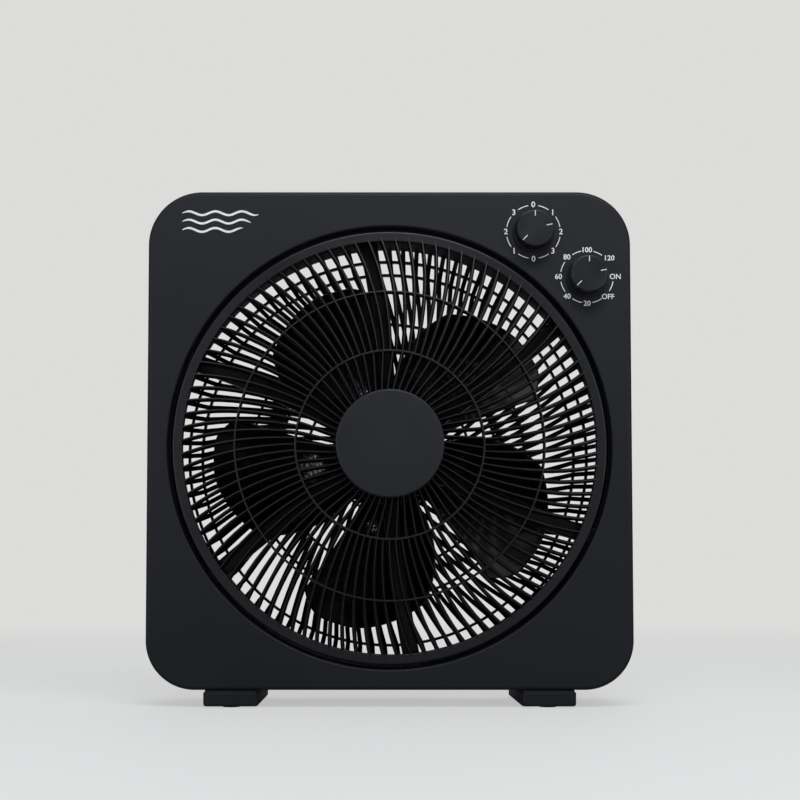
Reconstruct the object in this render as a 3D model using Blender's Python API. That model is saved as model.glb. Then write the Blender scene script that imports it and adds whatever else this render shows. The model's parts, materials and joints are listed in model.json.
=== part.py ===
"""Box fan with a rotating front grille, a speed knob and a timer knob.

Metres, +Z up, front towards -Y. The origin is on the ground under the middle of the fan.
"""

import math

import bmesh
import bpy
from mathutils import Matrix, Vector

# Driving dimensions
GAP = 0.0003                    # clearance between pieces that touch
HOUSING_WIDTH = 0.372
HOUSING_HEIGHT = 0.3835
FOOT_DROP = 0.0132              # underside of the housing above the ground
TOP_CORNER = 0.0415
BOTTOM_CORNER = 0.0375
WALL = 0.0025
FRONT_Y = -0.050
SEAM_Y = 0.018                  # where the front and rear shells meet
REAR_Y = 0.052
HOUSING_Z = FOOT_DROP + HOUSING_HEIGHT / 2

AXIS_Z = 0.199                  # fan axis
OPENING_RADIUS = 0.1705
DUCT_RADIUS = 0.1755
DUCT_WALL = 0.002
DUCT_FRONT_Y = -0.0285
ROUND_SIDES = 60                # facets of the large round shapes

GRILLE_RADIUS = 0.1667
GRILLE_RIM_INNER = 0.1607
GRILLE_RING_OUTER = 0.118
GRILLE_RING_INNER = 0.0715
GRILLE_HUB_RADIUS = 0.038
GRILLE_RISE = 0.020             # how far the middle of the grille stands forward of its rim
GRILLE_RIM_Y = -0.0492
GRILLE_DEPTH = 0.008
OUTER_RIBS = 48                 # every second rib of the moulded grille, to keep the solid light
INNER_RIBS = 30
RIB_WIDTH = 0.0018
CAP_RADIUS = 0.0408
CAP_FRONT_Y = -0.0765

SPIDER_ARMS = 6
SPIDER_ARM_WIDTH = 0.013
SPIDER_FRONT_Y = -0.0380
SPIDER_DEPTH = 0.0085
SPIDER_HUB_RADIUS = 0.043
SPIDER_ANGLE = 35.6             # of the first arm at the rim, degrees

BLADES = 5
BLADE_TIP = 0.1447
BLADE_ANGLE = 24.5              # of the first blade's leading edge, degrees
FAN_HUB_RADIUS = 0.046
BLADE_MIDDLE_Y = 0.0305

REAR_RINGS = (0.070, 0.0925, 0.117, 0.157)
REAR_RIBS = 24
REAR_RIM_INNER = 0.1690
REAR_RIM_OUTER = 0.1818
REAR_DISC_RADIUS = 0.047
REAR_END_Y = 0.0765

SPEED_X = 0.111
SPEED_Z = 0.365
TIMER_X = 0.152
TIMER_Z = 0.330
KNOB_RADIUS = 0.0160
KNOB_FACE_RADIUS = 0.0138
KNOB_HEIGHT = 0.0130
KNOB_SHAFT_RADIUS = 0.003

FOOT_X = 0.121
FOOT_WIDTH = 0.042
FOOT_FRONT_Y = -0.0495
FOOT_REAR_Y = 0.056
PAD_PROUD = 0.0008

CHARCOAL = (0.028, 0.029, 0.033, 1)
BLACK = (0.012, 0.012, 0.013, 1)
GLOSS_BLACK = (0.006, 0.006, 0.007, 1)
STEEL = (0.55, 0.55, 0.56, 1)
COPPER = (0.55, 0.22, 0.10, 1)
WHITE = (0.78, 0.77, 0.73, 1)


# Helpers

def add_object(name, vertices, faces, place=(0, 0, 0)):
    """One closed mesh object whose faces point outwards."""
    mesh = bpy.data.meshes.new(name)
    mesh.from_pydata(vertices, [], faces)
    shell = bmesh.new()
    shell.from_mesh(mesh)
    bmesh.ops.recalc_face_normals(shell, faces=shell.faces)
    shell.to_mesh(mesh)
    shell.free()
    obj = bpy.data.objects.new(name, mesh)
    obj.location = place
    bpy.context.collection.objects.link(obj)
    return obj


def turned(name, profile, place=(0, 0, 0), segments=32):
    """A closed outline of (radius, y) points turned about the Y axis through place."""
    vertices = []
    rings = []
    for radius, y in profile:
        if radius == 0:
            rings.append([len(vertices)])
            vertices.append((0, y, 0))
            continue
        rings.append(list(range(len(vertices), len(vertices) + segments)))
        for step in range(segments):
            angle = 2 * math.pi * step / segments
            vertices.append((radius * math.cos(angle), y, radius * math.sin(angle)))
    faces = []
    for first, second in zip(rings, rings[1:] + rings[:1]):
        if len(first) == 1 and len(second) == 1:
            continue
        for step in range(segments):
            after = (step + 1) % segments
            if len(first) == 1:
                faces.append((first[0], second[step], second[after]))
            elif len(second) == 1:
                faces.append((first[step], second[0], first[after]))
            else:
                faces.append((first[step], second[step], second[after], first[after]))
    return add_object(name, vertices, faces, place)


def rod(name, radius, start_y, end_y, place=(0, 0, 0), segments=24):
    """A plain cylinder along Y."""
    profile = [(0, start_y), (radius, start_y), (radius, end_y), (0, end_y)]
    return turned(name, profile, place, segments)


def upright_rod(name, radius, start_z, end_z, place, segments=16):
    """A plain cylinder along Z."""
    obj = rod(name, radius, start_z, end_z, (0, 0, 0), segments)
    obj.data.transform(Matrix.Rotation(math.radians(90), 4, "X"))
    obj.location = place
    return obj


def tube(name, inner, outer, start_y, end_y, place=(0, 0, 0), segments=32):
    """A ring of rectangular section about the Y axis."""
    profile = [(inner, start_y), (outer, start_y), (outer, end_y), (inner, end_y)]
    return turned(name, profile, place, segments)


def block(name, size, place, bevel=0.0, turn=0.0, steps=2):
    """A box with its edges rounded by bevel and turned about Y by turn degrees."""
    shell = bmesh.new()
    bmesh.ops.create_cube(shell, size=1)
    bmesh.ops.scale(shell, vec=size, verts=shell.verts)
    if bevel:
        bmesh.ops.bevel(shell, geom=shell.edges[:], offset=bevel, segments=steps, profile=0.5, affect="EDGES")
    bmesh.ops.rotate(shell, matrix=Matrix.Rotation(math.radians(turn), 3, "Y"), verts=shell.verts)
    mesh = bpy.data.meshes.new(name)
    shell.to_mesh(mesh)
    shell.free()
    obj = bpy.data.objects.new(name, mesh)
    obj.location = place
    bpy.context.collection.objects.link(obj)
    return obj


def merged(pieces):
    """One object that holds the meshes of several pieces, in the scene's frame."""
    bpy.context.view_layer.update()
    shell = bmesh.new()
    for piece in pieces:
        piece.data.transform(piece.matrix_world)
        shell.from_mesh(piece.data)
        bpy.data.objects.remove(piece)
    mesh = bpy.data.meshes.new("merged")
    shell.to_mesh(mesh)
    shell.free()
    obj = bpy.data.objects.new("merged", mesh)
    bpy.context.collection.objects.link(obj)
    return obj


def combine(target, tools, operation):
    """Cut tools that don't touch each other from target in one pass, or join them on."""
    tool = merged(tools)
    bpy.context.view_layer.update()
    modifier = target.modifiers.new(operation.lower(), "BOOLEAN")
    modifier.object = tool
    modifier.operation = operation
    modifier.solver = "EXACT"
    graph = bpy.context.evaluated_depsgraph_get()
    mesh = bpy.data.meshes.new_from_object(target.evaluated_get(graph))
    target.modifiers.clear()
    target.data = mesh
    bpy.data.objects.remove(tool)


def cut(target, *tools):
    combine(target, tools, "DIFFERENCE")


def join(target, *tools):
    combine(target, tools, "UNION")


def finish(obj, colour, roughness, metallic=0.0, smooth=True):
    """Give a piece its own Principled material and shade its round faces smooth."""
    material = bpy.data.materials.new(obj.name)
    material.use_nodes = True
    shader = material.node_tree.nodes["Principled BSDF"]
    shader.inputs["Base Color"].default_value = colour
    shader.inputs["Roughness"].default_value = roughness
    shader.inputs["Metallic"].default_value = metallic
    obj.data.materials.clear()
    obj.data.materials.append(material)
    for face in obj.data.polygons:
        face.material_index = 0
    if smooth:
        obj.data.shade_smooth()
        obj.data.set_sharp_from_angle(angle=math.radians(30))
    return obj


def rounded_outline(inset, steps=7):
    """The housing's outline in X and Z, moved in by inset, as one loop of points."""
    corners = (
        (1, 1, 0, TOP_CORNER),
        (-1, 1, 90, TOP_CORNER),
        (-1, -1, 180, BOTTOM_CORNER),
        (1, -1, 270, BOTTOM_CORNER),
    )
    points = []
    for side_x, side_z, start, corner in corners:
        centre_x = side_x * (HOUSING_WIDTH / 2 - corner)
        centre_z = HOUSING_Z + side_z * (HOUSING_HEIGHT / 2 - corner)
        for step in range(steps + 1):
            angle = math.radians(start + 90 * step / steps)
            radius = corner - inset
            points.append((centre_x + radius * math.cos(angle), centre_z + radius * math.sin(angle)))
    return points


def tub(name, sections):
    """A shell lofted through (inset, y) sections of the housing outline, closed at both ends."""
    vertices = []
    faces = []
    count = 0
    for inset, y in sections:
        outline = rounded_outline(inset)
        count = len(outline)
        vertices += [(x, y, z) for x, z in outline]
    for level in range(len(sections) - 1):
        low = level * count
        for step in range(count):
            after = (step + 1) % count
            faces.append((low + step, low + after, low + count + after, low + count + step))
    faces.append(tuple(range(count)))
    faces.append(tuple(range(len(vertices) - count, len(vertices))))
    return add_object(name, vertices, faces)


def fillet(depth, start_y, direction, steps=3):
    """Sections round an outer edge: from the side wall at start_y to a face, depth further on."""
    sections = []
    for step in range(steps + 1):
        angle = math.radians(90 * step / steps)
        sections.append((depth * (1 - math.cos(angle)), start_y + direction * depth * math.sin(angle)))
    return sections


def lattice(name, ribs, width, bands, swirl, front, back, phase=0.0, place=(0, 0, AXIS_Z)):
    """A round grille in one closed body: ribs of constant width between solid rings.

    bands is a list of (inner radius, outer radius, kind), each starting where the last one ends,
    with kind "ring" or "ribs". A rib's angle at a radius is phase + swirl(radius), and the body
    lies between front(radius) and back(radius) along Y.
    """
    radii = [bands[0][0]] + [band[1] for band in bands]
    kinds = [band[2] for band in bands]
    columns = 2 * ribs
    vertices = []
    for radius in radii:
        half = width / 2 / radius
        for column in range(columns):
            middle = phase + swirl(radius) + 2 * math.pi * (column // 2) / ribs
            angle = middle + (half if column % 2 else -half)
            x = radius * math.cos(angle)
            z = radius * math.sin(angle)
            vertices.append((x, front(radius), z))
            vertices.append((x, back(radius), z))

    def corner(level, column, side):
        return 2 * (level * columns + column % columns) + side

    def solid(band, column):
        if band < 0 or band >= len(kinds):
            return False
        return kinds[band] == "ring" or column % 2 == 0

    faces = []
    for band in range(len(kinds)):
        for column in range(columns):
            if not solid(band, column):
                continue
            after = column + 1
            for side in (0, 1):
                faces.append((corner(band, column, side), corner(band, after, side),
                              corner(band + 1, after, side), corner(band + 1, column, side)))
            if not solid(band - 1, column):
                faces.append((corner(band, column, 0), corner(band, after, 0),
                              corner(band, after, 1), corner(band, column, 1)))
            if not solid(band + 1, column):
                faces.append((corner(band + 1, column, 0), corner(band + 1, after, 0),
                              corner(band + 1, after, 1), corner(band + 1, column, 1)))
            if kinds[band] == "ribs":
                for edge in (column, after):
                    faces.append((corner(band, edge, 0), corner(band, edge, 1),
                                  corner(band + 1, edge, 1), corner(band + 1, edge, 0)))
    return add_object(name, vertices, faces, place)


def screw(name, head_radius, head_height, shank_radius, length, place, axis="Y", turn=1):
    """A pan-head screw with its head's seat at place; the shank runs along turn times the axis."""
    profile = [
        (0, -head_height),
        (head_radius * 0.75, -head_height),
        (head_radius, 0),
        (shank_radius, 0),
        (shank_radius, length),
        (0, length),
    ]
    if turn < 0:
        profile = [(radius, -y) for radius, y in profile]
    obj = turned(name, profile, (0, 0, 0), 6)
    if axis == "Z":
        obj.data.transform(Matrix.Rotation(math.radians(90), 4, "X"))
    obj.location = place
    return finish(obj, STEEL, 0.35, 1.0)


def around_axis(radius, degrees):
    """A place on a circle round the fan axis, measured from +X towards +Z."""
    angle = math.radians(degrees)
    return radius * math.cos(angle), AXIS_Z + radius * math.sin(angle)


def screw_posts():
    """The four corners where the shells are screwed together."""
    for side_x in (-1, 1):
        for side_z in (-1, 1):
            yield side_x * 0.158, HOUSING_Z + side_z * 0.1638


def grille_ears():
    """The four screw ears of the rear grille, on the diagonals."""
    for degrees in (45, 135, 225, 315):
        yield around_axis(0.1865, degrees)


def motor_screws():
    for number in range(4):
        yield around_axis(0.0270, 90 * number + 45)


# Housing

def make_front_housing():
    depth = 0.003
    sections = [(WALL + depth, FRONT_Y + WALL), (WALL, FRONT_Y + WALL + depth), (WALL, SEAM_Y), (0, SEAM_Y)]
    sections += fillet(depth, FRONT_Y + depth, -1)
    shell = tub("front_housing", sections)
    axis = (0, 0, AXIS_Z)
    chamfer = 0.0014
    opening = [
        (0, FRONT_Y - 0.01),
        (OPENING_RADIUS + chamfer + 0.01, FRONT_Y - 0.01),
        (OPENING_RADIUS, FRONT_Y + chamfer),
        (OPENING_RADIUS, -0.03),
        (0, -0.03),
    ]
    lip = tube("lip", OPENING_RADIUS - 0.003, OPENING_RADIUS + WALL, FRONT_Y + 0.001, -0.0425, axis, ROUND_SIDES)
    posts = [rod("post", 0.005, FRONT_Y + 0.001, 0.010, (x, 0, z), 10) for x, z in screw_posts()]
    join(shell, lip, *posts)
    cuts = [turned("opening", opening, axis, ROUND_SIDES)]
    cuts += [rod("bore", 0.0017, -0.030, 0.020, (x, 0, z), 8) for x, z in screw_posts()]
    for x, z in ((SPEED_X, SPEED_Z), (TIMER_X, TIMER_Z)):
        cuts.append(rod("shaft_hole", 0.0045, FRONT_Y - 0.01, FRONT_Y + 0.01, (x, 0, z), 16))
    for side in (-1, 1):
        cuts.append(upright_rod("foot_hole", 0.0018, -0.01, 0.01, (side * FOOT_X, -0.025, FOOT_DROP), 12))
    cut(shell, *cuts)
    return finish(shell, CHARCOAL, 0.5)


def make_rear_housing():
    depth = 0.006
    sections = [(WALL + depth, REAR_Y - WALL), (WALL, REAR_Y - WALL - depth), (WALL, SEAM_Y + GAP), (0, SEAM_Y + GAP)]
    sections += fillet(depth, REAR_Y - depth, 1)
    shell = tub("rear_housing", sections)
    axis = (0, 0, AXIS_Z)
    pocket_z = 0.3862
    duct = tube("duct", DUCT_RADIUS - 0.003, DUCT_RADIUS + DUCT_WALL, DUCT_FRONT_Y, REAR_Y - 0.001, axis, ROUND_SIDES)
    wells = [rod("well", 0.0065, 0.010 + GAP, REAR_Y - 0.001, (x, 0, z), 12) for x, z in screw_posts()]
    join(shell, duct, *wells)
    join(shell, block("pocket_walls", (0.110, 0.024, 0.0205), (0, REAR_Y - 0.013, pocket_z), 0.003, 0, 1))
    cuts = [rod("duct_bore", DUCT_RADIUS, DUCT_FRONT_Y - 0.01, REAR_Y + 0.01, axis, ROUND_SIDES)]
    cuts.append(block("pocket", (0.104, 0.040, 0.0135), (0, REAR_Y - 0.001, pocket_z), 0.003, 0, 1))
    for x, z in screw_posts():
        well = [(0, -0.010), (0.0018, -0.010), (0.0018, 0.020), (0.0042, 0.020), (0.0042, 0.062), (0, 0.062)]
        cuts.append(turned("screw_well", well, (x, 0, z), 12))
    for x, z in grille_ears():
        cuts.append(rod("grille_hole", 0.0018, REAR_Y - 0.01, REAR_Y + 0.01, (x, 0, z), 12))
    cuts.append(rod("cord_hole", 0.0063, REAR_Y - 0.02, REAR_Y + 0.02, (0.140, 0, 0.045), 24))
    for side in (-1, 1):
        cuts.append(upright_rod("foot_hole", 0.0018, -0.01, 0.01, (side * FOOT_X, 0.034, FOOT_DROP), 12))
    cut(shell, *cuts)
    return finish(shell, CHARCOAL, 0.55)


def make_cord_gland():
    profile = [
        (0.0035, REAR_Y + 0.006),
        (0.0035, REAR_Y - 0.006),
        (0.0060, REAR_Y - 0.006),
        (0.0060, REAR_Y + GAP),
        (0.0095, REAR_Y + GAP),
        (0.0095, REAR_Y + 0.002),
        (0.0065, REAR_Y + 0.006),
    ]
    return finish(turned("cord_gland", profile, (0.140, 0, 0.045), 14), BLACK, 0.7)


def make_feet():
    for name, side in (("foot_left", -1), ("foot_right", 1)):
        top = FOOT_DROP - GAP
        height = top - PAD_PROUD
        depth = FOOT_REAR_Y - FOOT_FRONT_Y
        middle_y = (FOOT_REAR_Y + FOOT_FRONT_Y) / 2
        foot = block(name, (FOOT_WIDTH, depth, height), (side * FOOT_X, middle_y, PAD_PROUD + height / 2), 0.0018, 0, 1)
        cuts = []
        for end, y in (("front", -0.025), ("rear", 0.034)):
            well = [(0, -0.010), (0.0042, -0.010), (0.0042, 0.0065), (0.0018, 0.0065), (0.0018, 0.030), (0, 0.030)]
            tool = turned("screw_well", well, (0, 0, 0), 10)
            tool.data.transform(Matrix.Rotation(math.radians(90), 4, "X"))
            tool.location = (side * FOOT_X, y, 0)
            cuts.append(tool)
            seat = (side * FOOT_X, y, 0.0065 - GAP)
            screw(f"{name}_screw_{end}", 0.0036, 0.0022, 0.0015, 0.012, seat, "Z")
        for end, y in (("front", -0.040), ("rear", 0.046)):
            cuts.append(upright_rod("pocket", 0.0070, -0.01, 0.0026, (side * FOOT_X, y, 0), 12))
            pad = upright_rod(f"{name}_pad_{end}", 0.0067, 0.0, 0.0023, (side * FOOT_X, y, 0), 12)
            finish(pad, BLACK, 0.9)
        cut(foot, *cuts)
        finish(foot, CHARCOAL, 0.55)


def make_housing_screws():
    for number, (x, z) in enumerate(screw_posts(), 1):
        screw(f"housing_screw_{number}", 0.0036, 0.0024, 0.0014, 0.030, (x, 0.0203, z), "Y", -1)


# Front grille and its drive

def grille_front(radius):
    """Front face of the rotating grille along Y: a shallow dome on a flat rim."""
    share = min(radius / GRILLE_RIM_INNER, 1)
    return GRILLE_RIM_Y - GRILLE_RISE * (1 - share ** 2)


def grille_back(radius):
    return grille_front(radius) + GRILLE_DEPTH


def outer_swirl(radius):
    """The ribs lean on an arc outside the inner ring."""
    reach = (radius - GRILLE_RING_INNER) / (GRILLE_RIM_INNER - GRILLE_RING_INNER)
    return math.radians(-0.3 + 6.2 * max(reach, 0) ** 1.6)


def inner_swirl(radius):
    reach = (GRILLE_RING_INNER - radius) / (GRILLE_RING_INNER - GRILLE_HUB_RADIUS)
    return math.radians(4.2 + 5.0 * max(reach, 0) ** 1.5)


def make_front_grille():
    ring = 0.0024
    bands = [
        (GRILLE_RING_INNER - ring / 2, GRILLE_RING_INNER + ring / 2, "ring"),
        (0, GRILLE_RING_OUTER - ring / 2, "ribs"),
        (0, GRILLE_RING_OUTER + ring / 2, "ring"),
        (0, GRILLE_RIM_INNER, "ribs"),
        (0, GRILLE_RADIUS, "ring"),
    ]
    grille = lattice("front_grille", OUTER_RIBS, RIB_WIDTH, bands, outer_swirl, grille_front, grille_back)
    setback = 0.0004
    bands = [
        (0.0045, GRILLE_HUB_RADIUS, "ring"),
        (0, GRILLE_RING_INNER, "ribs"),
    ]
    inner = lattice("inner_grille", INNER_RIBS, RIB_WIDTH, bands, inner_swirl,
                    lambda radius: grille_front(max(radius, GRILLE_HUB_RADIUS)) + setback,
                    lambda radius: grille_back(max(radius, GRILLE_HUB_RADIUS)) - setback)
    join(grille, inner)
    return finish(grille, CHARCOAL, 0.5)


def make_grille_cap():
    seat = grille_front(GRILLE_HUB_RADIUS) - GAP
    bevel = 0.0012
    profile = [
        (0, CAP_FRONT_Y),
        (CAP_RADIUS - bevel * 1.6, CAP_FRONT_Y),
        (CAP_RADIUS - bevel * 0.5, CAP_FRONT_Y + bevel * 0.4),
        (CAP_RADIUS, CAP_FRONT_Y + bevel * 1.6),
        (CAP_RADIUS, seat),
        (CAP_RADIUS - 0.002, seat),
        (CAP_RADIUS - 0.002, CAP_FRONT_Y + 0.0025),
        (0, CAP_FRONT_Y + 0.0025),
    ]
    return finish(turned("grille_cap", profile, (0, 0, AXIS_Z), 40), CHARCOAL, 0.5)


def make_grille_drive():
    place = (0, 0, AXIS_Z)
    shaft = rod("grille_shaft", 0.0030, -0.0660, -0.0345, place, 20)
    cut(shaft, rod("thread", 0.0017, -0.0700, -0.0575, place, 12))
    finish(shaft, STEEL, 0.3, 1.0)
    bush = tube("grille_bush", 0.0030 + GAP, 0.0045 - GAP, -0.0675, -0.0615, place, 12)
    finish(bush, WHITE, 0.5)
    seat = grille_front(GRILLE_HUB_RADIUS) + 0.0001
    screw("grille_screw", 0.0050, 0.0024, 0.0014, 0.0100, (0, seat, AXIS_Z), "Y", 1)
    motor = turned("grille_motor", [
        (0.0033, -0.0375),
        (0.0230, -0.0375),
        (0.0245, -0.0362),
        (0.0245, -0.0212),
        (0.0232, -0.0200),
        (0, -0.0200),
        (0, -0.0330),
        (0.0033, -0.0330),
    ], place, 32)
    return finish(motor, STEEL, 0.4, 0.8)


def spider_swirl(radius):
    """The arms lead a little towards the rim."""
    share = (radius - 0.073) / (0.150 - 0.073)
    return math.radians(-2.6 + 2.6 * share)


def make_front_spider():
    place = (0, 0, AXIS_Z)
    back_y = SPIDER_FRONT_Y + SPIDER_DEPTH
    rim = [
        (0.1690, SPIDER_FRONT_Y + 0.0002),
        (0.1740, SPIDER_FRONT_Y + 0.0002),
        (0.1740, -0.0472),
        (0.1795, -0.0472),
        (0.1795, -0.0448),
        (0.1763, -0.0448),
        (0.1763, back_y - 0.0005),
        (0.1690, back_y - 0.0005),
    ]
    hub = [
        (0.0035, -0.0402),
        (0.0270, -0.0402),
        (0.0270, SPIDER_FRONT_Y - 0.0003),
        (SPIDER_HUB_RADIUS, SPIDER_FRONT_Y - 0.0003),
        (SPIDER_HUB_RADIUS, back_y - 0.0010),
        (0.0249, back_y - 0.0010),
        (0.0249, SPIDER_FRONT_Y + 0.0002),
        (0.0035, SPIDER_FRONT_Y + 0.0002),
    ]
    spider = merged([turned("rim", rim, place, ROUND_SIDES), turned("hub", hub, place, 28)])
    spider.name = "front_spider"
    arm_radii = (0.040, 0.073, 0.108, 0.140, 0.1720)
    groove_radii = (0.049, 0.073, 0.108, 0.140, 0.1660)
    groove_width = SPIDER_ARM_WIDTH - 0.0044
    arms = []
    grooves = []
    for number in range(SPIDER_ARMS):
        angle = math.radians(SPIDER_ANGLE) + 2 * math.pi * number / SPIDER_ARMS
        arms.append(curved_bar("arm", SPIDER_ARM_WIDTH, arm_radii, angle, SPIDER_FRONT_Y, back_y))
        floor_y = SPIDER_FRONT_Y + 0.0022
        grooves.append(curved_bar("groove", groove_width, groove_radii, angle, floor_y, back_y + 0.01))
    join(spider, *arms)
    cut(spider, *grooves)
    return finish(spider, BLACK, 0.6)


def curved_bar(name, width, radii, phase, front, back):
    """A bar through the given radii between two Y levels, following the arms' swirl."""
    vertices = []
    for radius in radii:
        middle = phase + spider_swirl(radius)
        along = Vector((math.cos(middle), 0, math.sin(middle)))
        across = Vector((-math.sin(middle), 0, math.cos(middle)))
        for side, y in ((-1, front), (1, front), (1, back), (-1, back)):
            spot = along * radius + across * (side * width / 2)
            vertices.append((spot.x, y, spot.z))
    faces = []
    for level in range(len(radii) - 1):
        low = 4 * level
        for step in range(4):
            after = (step + 1) % 4
            faces.append((low + step, low + after, low + 4 + after, low + 4 + step))
    faces.append((0, 1, 2, 3))
    faces.append(tuple(range(len(vertices) - 4, len(vertices))))
    return add_object(name, vertices, faces, (0, 0, AXIS_Z))


# Fan, shaft and motor

def blade_point(share_out, share_across, start_angle):
    """A point of a blade: share_out from hub to tip, share_across from leading to trailing edge."""
    rounding = 0.0
    if share_across < 0.3:
        rounding = 0.0150 * ((0.3 - share_across) / 0.3) ** 2
    elif share_across > 0.5:
        rounding = 0.0200 * ((share_across - 0.5) / 0.5) ** 2
    root = FAN_HUB_RADIUS - 0.001
    radius = root + (BLADE_TIP - rounding - root) * share_out
    reach = max(radius - 0.050, 0) / 0.0768
    leading = -1.0 - 2.0 * max(radius - 0.066, 0) / 0.064
    trailing = 60.0 - 18.0 * reach ** 1.76
    angle = math.radians(start_angle + leading + (trailing - leading) * share_across)
    out = (radius - root) / (BLADE_TIP - root)
    rise = 0.034 - 0.010 * out
    camber = 0.0045 * (1 - (2 * share_across - 1) ** 2)
    y = BLADE_MIDDLE_Y + rise * (0.5 - share_across) + camber
    return radius * math.cos(angle), y, radius * math.sin(angle)


def make_blade(start_angle):
    """One blade as a closed plate of even thickness."""
    rows = 6
    columns = 8
    thickness = 0.0020
    vertices = []
    for side in (-0.5, 0.5):
        for row in range(rows + 1):
            for column in range(columns + 1):
                x, y, z = blade_point(row / rows, column / columns, start_angle)
                vertices.append((x, y + side * thickness, z))
    layer = (rows + 1) * (columns + 1)

    def spot(row, column, side):
        return side * layer + row * (columns + 1) + column

    faces = []
    for side in (0, 1):
        for row in range(rows):
            for column in range(columns):
                faces.append((spot(row, column, side), spot(row, column + 1, side),
                              spot(row + 1, column + 1, side), spot(row + 1, column, side)))
    for row in range(rows):
        for column in (0, columns):
            faces.append((spot(row, column, 0), spot(row + 1, column, 0),
                          spot(row + 1, column, 1), spot(row, column, 1)))
    for column in range(columns):
        for row in (0, rows):
            faces.append((spot(row, column, 0), spot(row, column + 1, 0),
                          spot(row, column + 1, 1), spot(row, column, 1)))
    return add_object("blade", vertices, faces, (0, 0, AXIS_Z))


def make_fan_blade():
    place = (0, 0, AXIS_Z)
    hub = turned("fan_blade", [
        (0.0043, 0.0100),
        (0.0400, 0.0100),
        (FAN_HUB_RADIUS, 0.0145),
        (FAN_HUB_RADIUS, 0.0500),
        (FAN_HUB_RADIUS - 0.002, 0.0500),
        (FAN_HUB_RADIUS - 0.002, 0.0155),
        (0.0390, 0.0125),
        (0.0043, 0.0125),
    ], place, 30)
    join(hub, *[make_blade(BLADE_ANGLE + 360 * number / BLADES) for number in range(BLADES)])
    boss = tube("boss", 0.0055, 0.0100, 0.0115, 0.0222, place, 16)
    cut(boss, block("slot", (0.030, 0.0044, 0.0034), (0, 0.0205, AXIS_Z)))
    join(hub, boss)
    return finish(hub, GLOSS_BLACK, 0.25)


def make_shaft_parts():
    place = (0, 0, AXIS_Z)
    shaft = rod("motor_shaft", 0.0040, 0.0015, 0.0690, place, 16)
    pin_y = 0.0205
    hole = upright_rod("pin_hole", 0.0016, -0.02, 0.02, (0, pin_y, AXIS_Z), 12)
    hole.rotation_euler = (0, math.radians(90), 0)
    cut(shaft, hole)
    finish(shaft, STEEL, 0.25, 1.0)
    pin = upright_rod("drive_pin", 0.0013, -0.0085, 0.0085, (0, 0, 0), 12)
    pin.data.transform(Matrix.Rotation(math.radians(90), 4, "Y"))
    pin.location = (0, pin_y, AXIS_Z)
    finish(pin, STEEL, 0.3, 1.0)
    nut = turned("blade_nut", [
        (0.0043, 0.0097),
        (0.0150, 0.0097),
        (0.0150, 0.0050),
        (0.0105, -0.0035),
        (0, -0.0055),
        (0, 0.0005),
        (0.0043, 0.0005),
    ], place, 24)
    grips = [around_axis(0.0161, 60 * number + 33) for number in range(6)]
    cut(nut, *[rod("grip", 0.0026, -0.0100, 0.0200, (x, 0, z), 7) for x, z in grips])
    finish(nut, BLACK, 0.5)
    rotor = tube("rotor", 0.0043, 0.0185, 0.0370, 0.0565, place, 20)
    finish(rotor, STEEL, 0.45, 1.0)


def make_motor():
    place = (0, 0, AXIS_Z)
    stator = tube("stator_core", 0.0190, 0.0360, 0.0370, 0.0550, place, 24)
    slots = [around_axis(0.0270, 60 * number + 22.5) for number in range(6)]
    cut(stator, *[rod("slot", 0.0050, 0.0300, 0.0650, (x, 0, z), 6) for x, z in slots])
    finish(stator, STEEL, 0.5, 1.0)
    for name, start, end in (("front_winding", 0.0300, 0.0367), ("rear_winding", 0.0553, 0.0620)):
        middle = (start + end) / 2
        profile = [
            (0.0212, middle),
            (0.0230, start),
            (0.0305, start),
            (0.0323, middle),
            (0.0305, end),
            (0.0230, end),
        ]
        finish(turned(name, profile, place, 20), COPPER, 0.4, 0.6)
    front = turned("motor_front_bell", [
        (0.0085, 0.0230),
        (0.0300, 0.0230),
        (0.0380, 0.0290),
        (0.0380, 0.0458),
        (0.0363, 0.0458),
        (0.0363, 0.0300),
        (0.0295, 0.0248),
        (0.0115, 0.0248),
        (0.0115, 0.0290),
        (0.0085, 0.0290),
    ], place, 24)
    finish(front, STEEL, 0.45, 0.9)
    rear = turned("motor_rear_bell", [
        (0.0085, 0.0700),
        (0.0330, 0.0700),
        (0.0380, 0.0660),
        (0.0380, 0.0461),
        (0.0363, 0.0461),
        (0.0363, 0.0655),
        (0.0325, 0.0682),
        (0.0115, 0.0682),
        (0.0115, 0.0635),
        (0.0085, 0.0635),
    ], place, 24)
    cut(rear, *[rod("tap", 0.0017, 0.0600, 0.0800, (x, 0, z), 8) for x, z in motor_screws()])
    finish(rear, STEEL, 0.45, 0.9)
    for name, start, end in (("front_bearing", 0.0235, 0.0288), ("rear_bearing", 0.0637, 0.0690)):
        finish(tube(name, 0.0043, 0.0082, start, end, place, 16), (0.5, 0.36, 0.17, 1), 0.4, 1.0)
    for number, (x, z) in enumerate(motor_screws(), 1):
        screw(f"motor_screw_{number}", 0.0032, 0.0018, 0.0014, 0.0095, (x, REAR_END_Y - 0.0018, z), "Y", -1)


# Rear grille

def rear_outside(radius):
    """Rear face of the rear grille along Y: a flat middle and a dished side."""
    share = min(max((radius - 0.110) / (REAR_RIM_INNER - 0.110), 0), 1)
    return REAR_END_Y - 0.0020 - 0.0165 * share ** 2


def rear_inside(radius):
    return rear_outside(radius) - 0.0040


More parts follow.
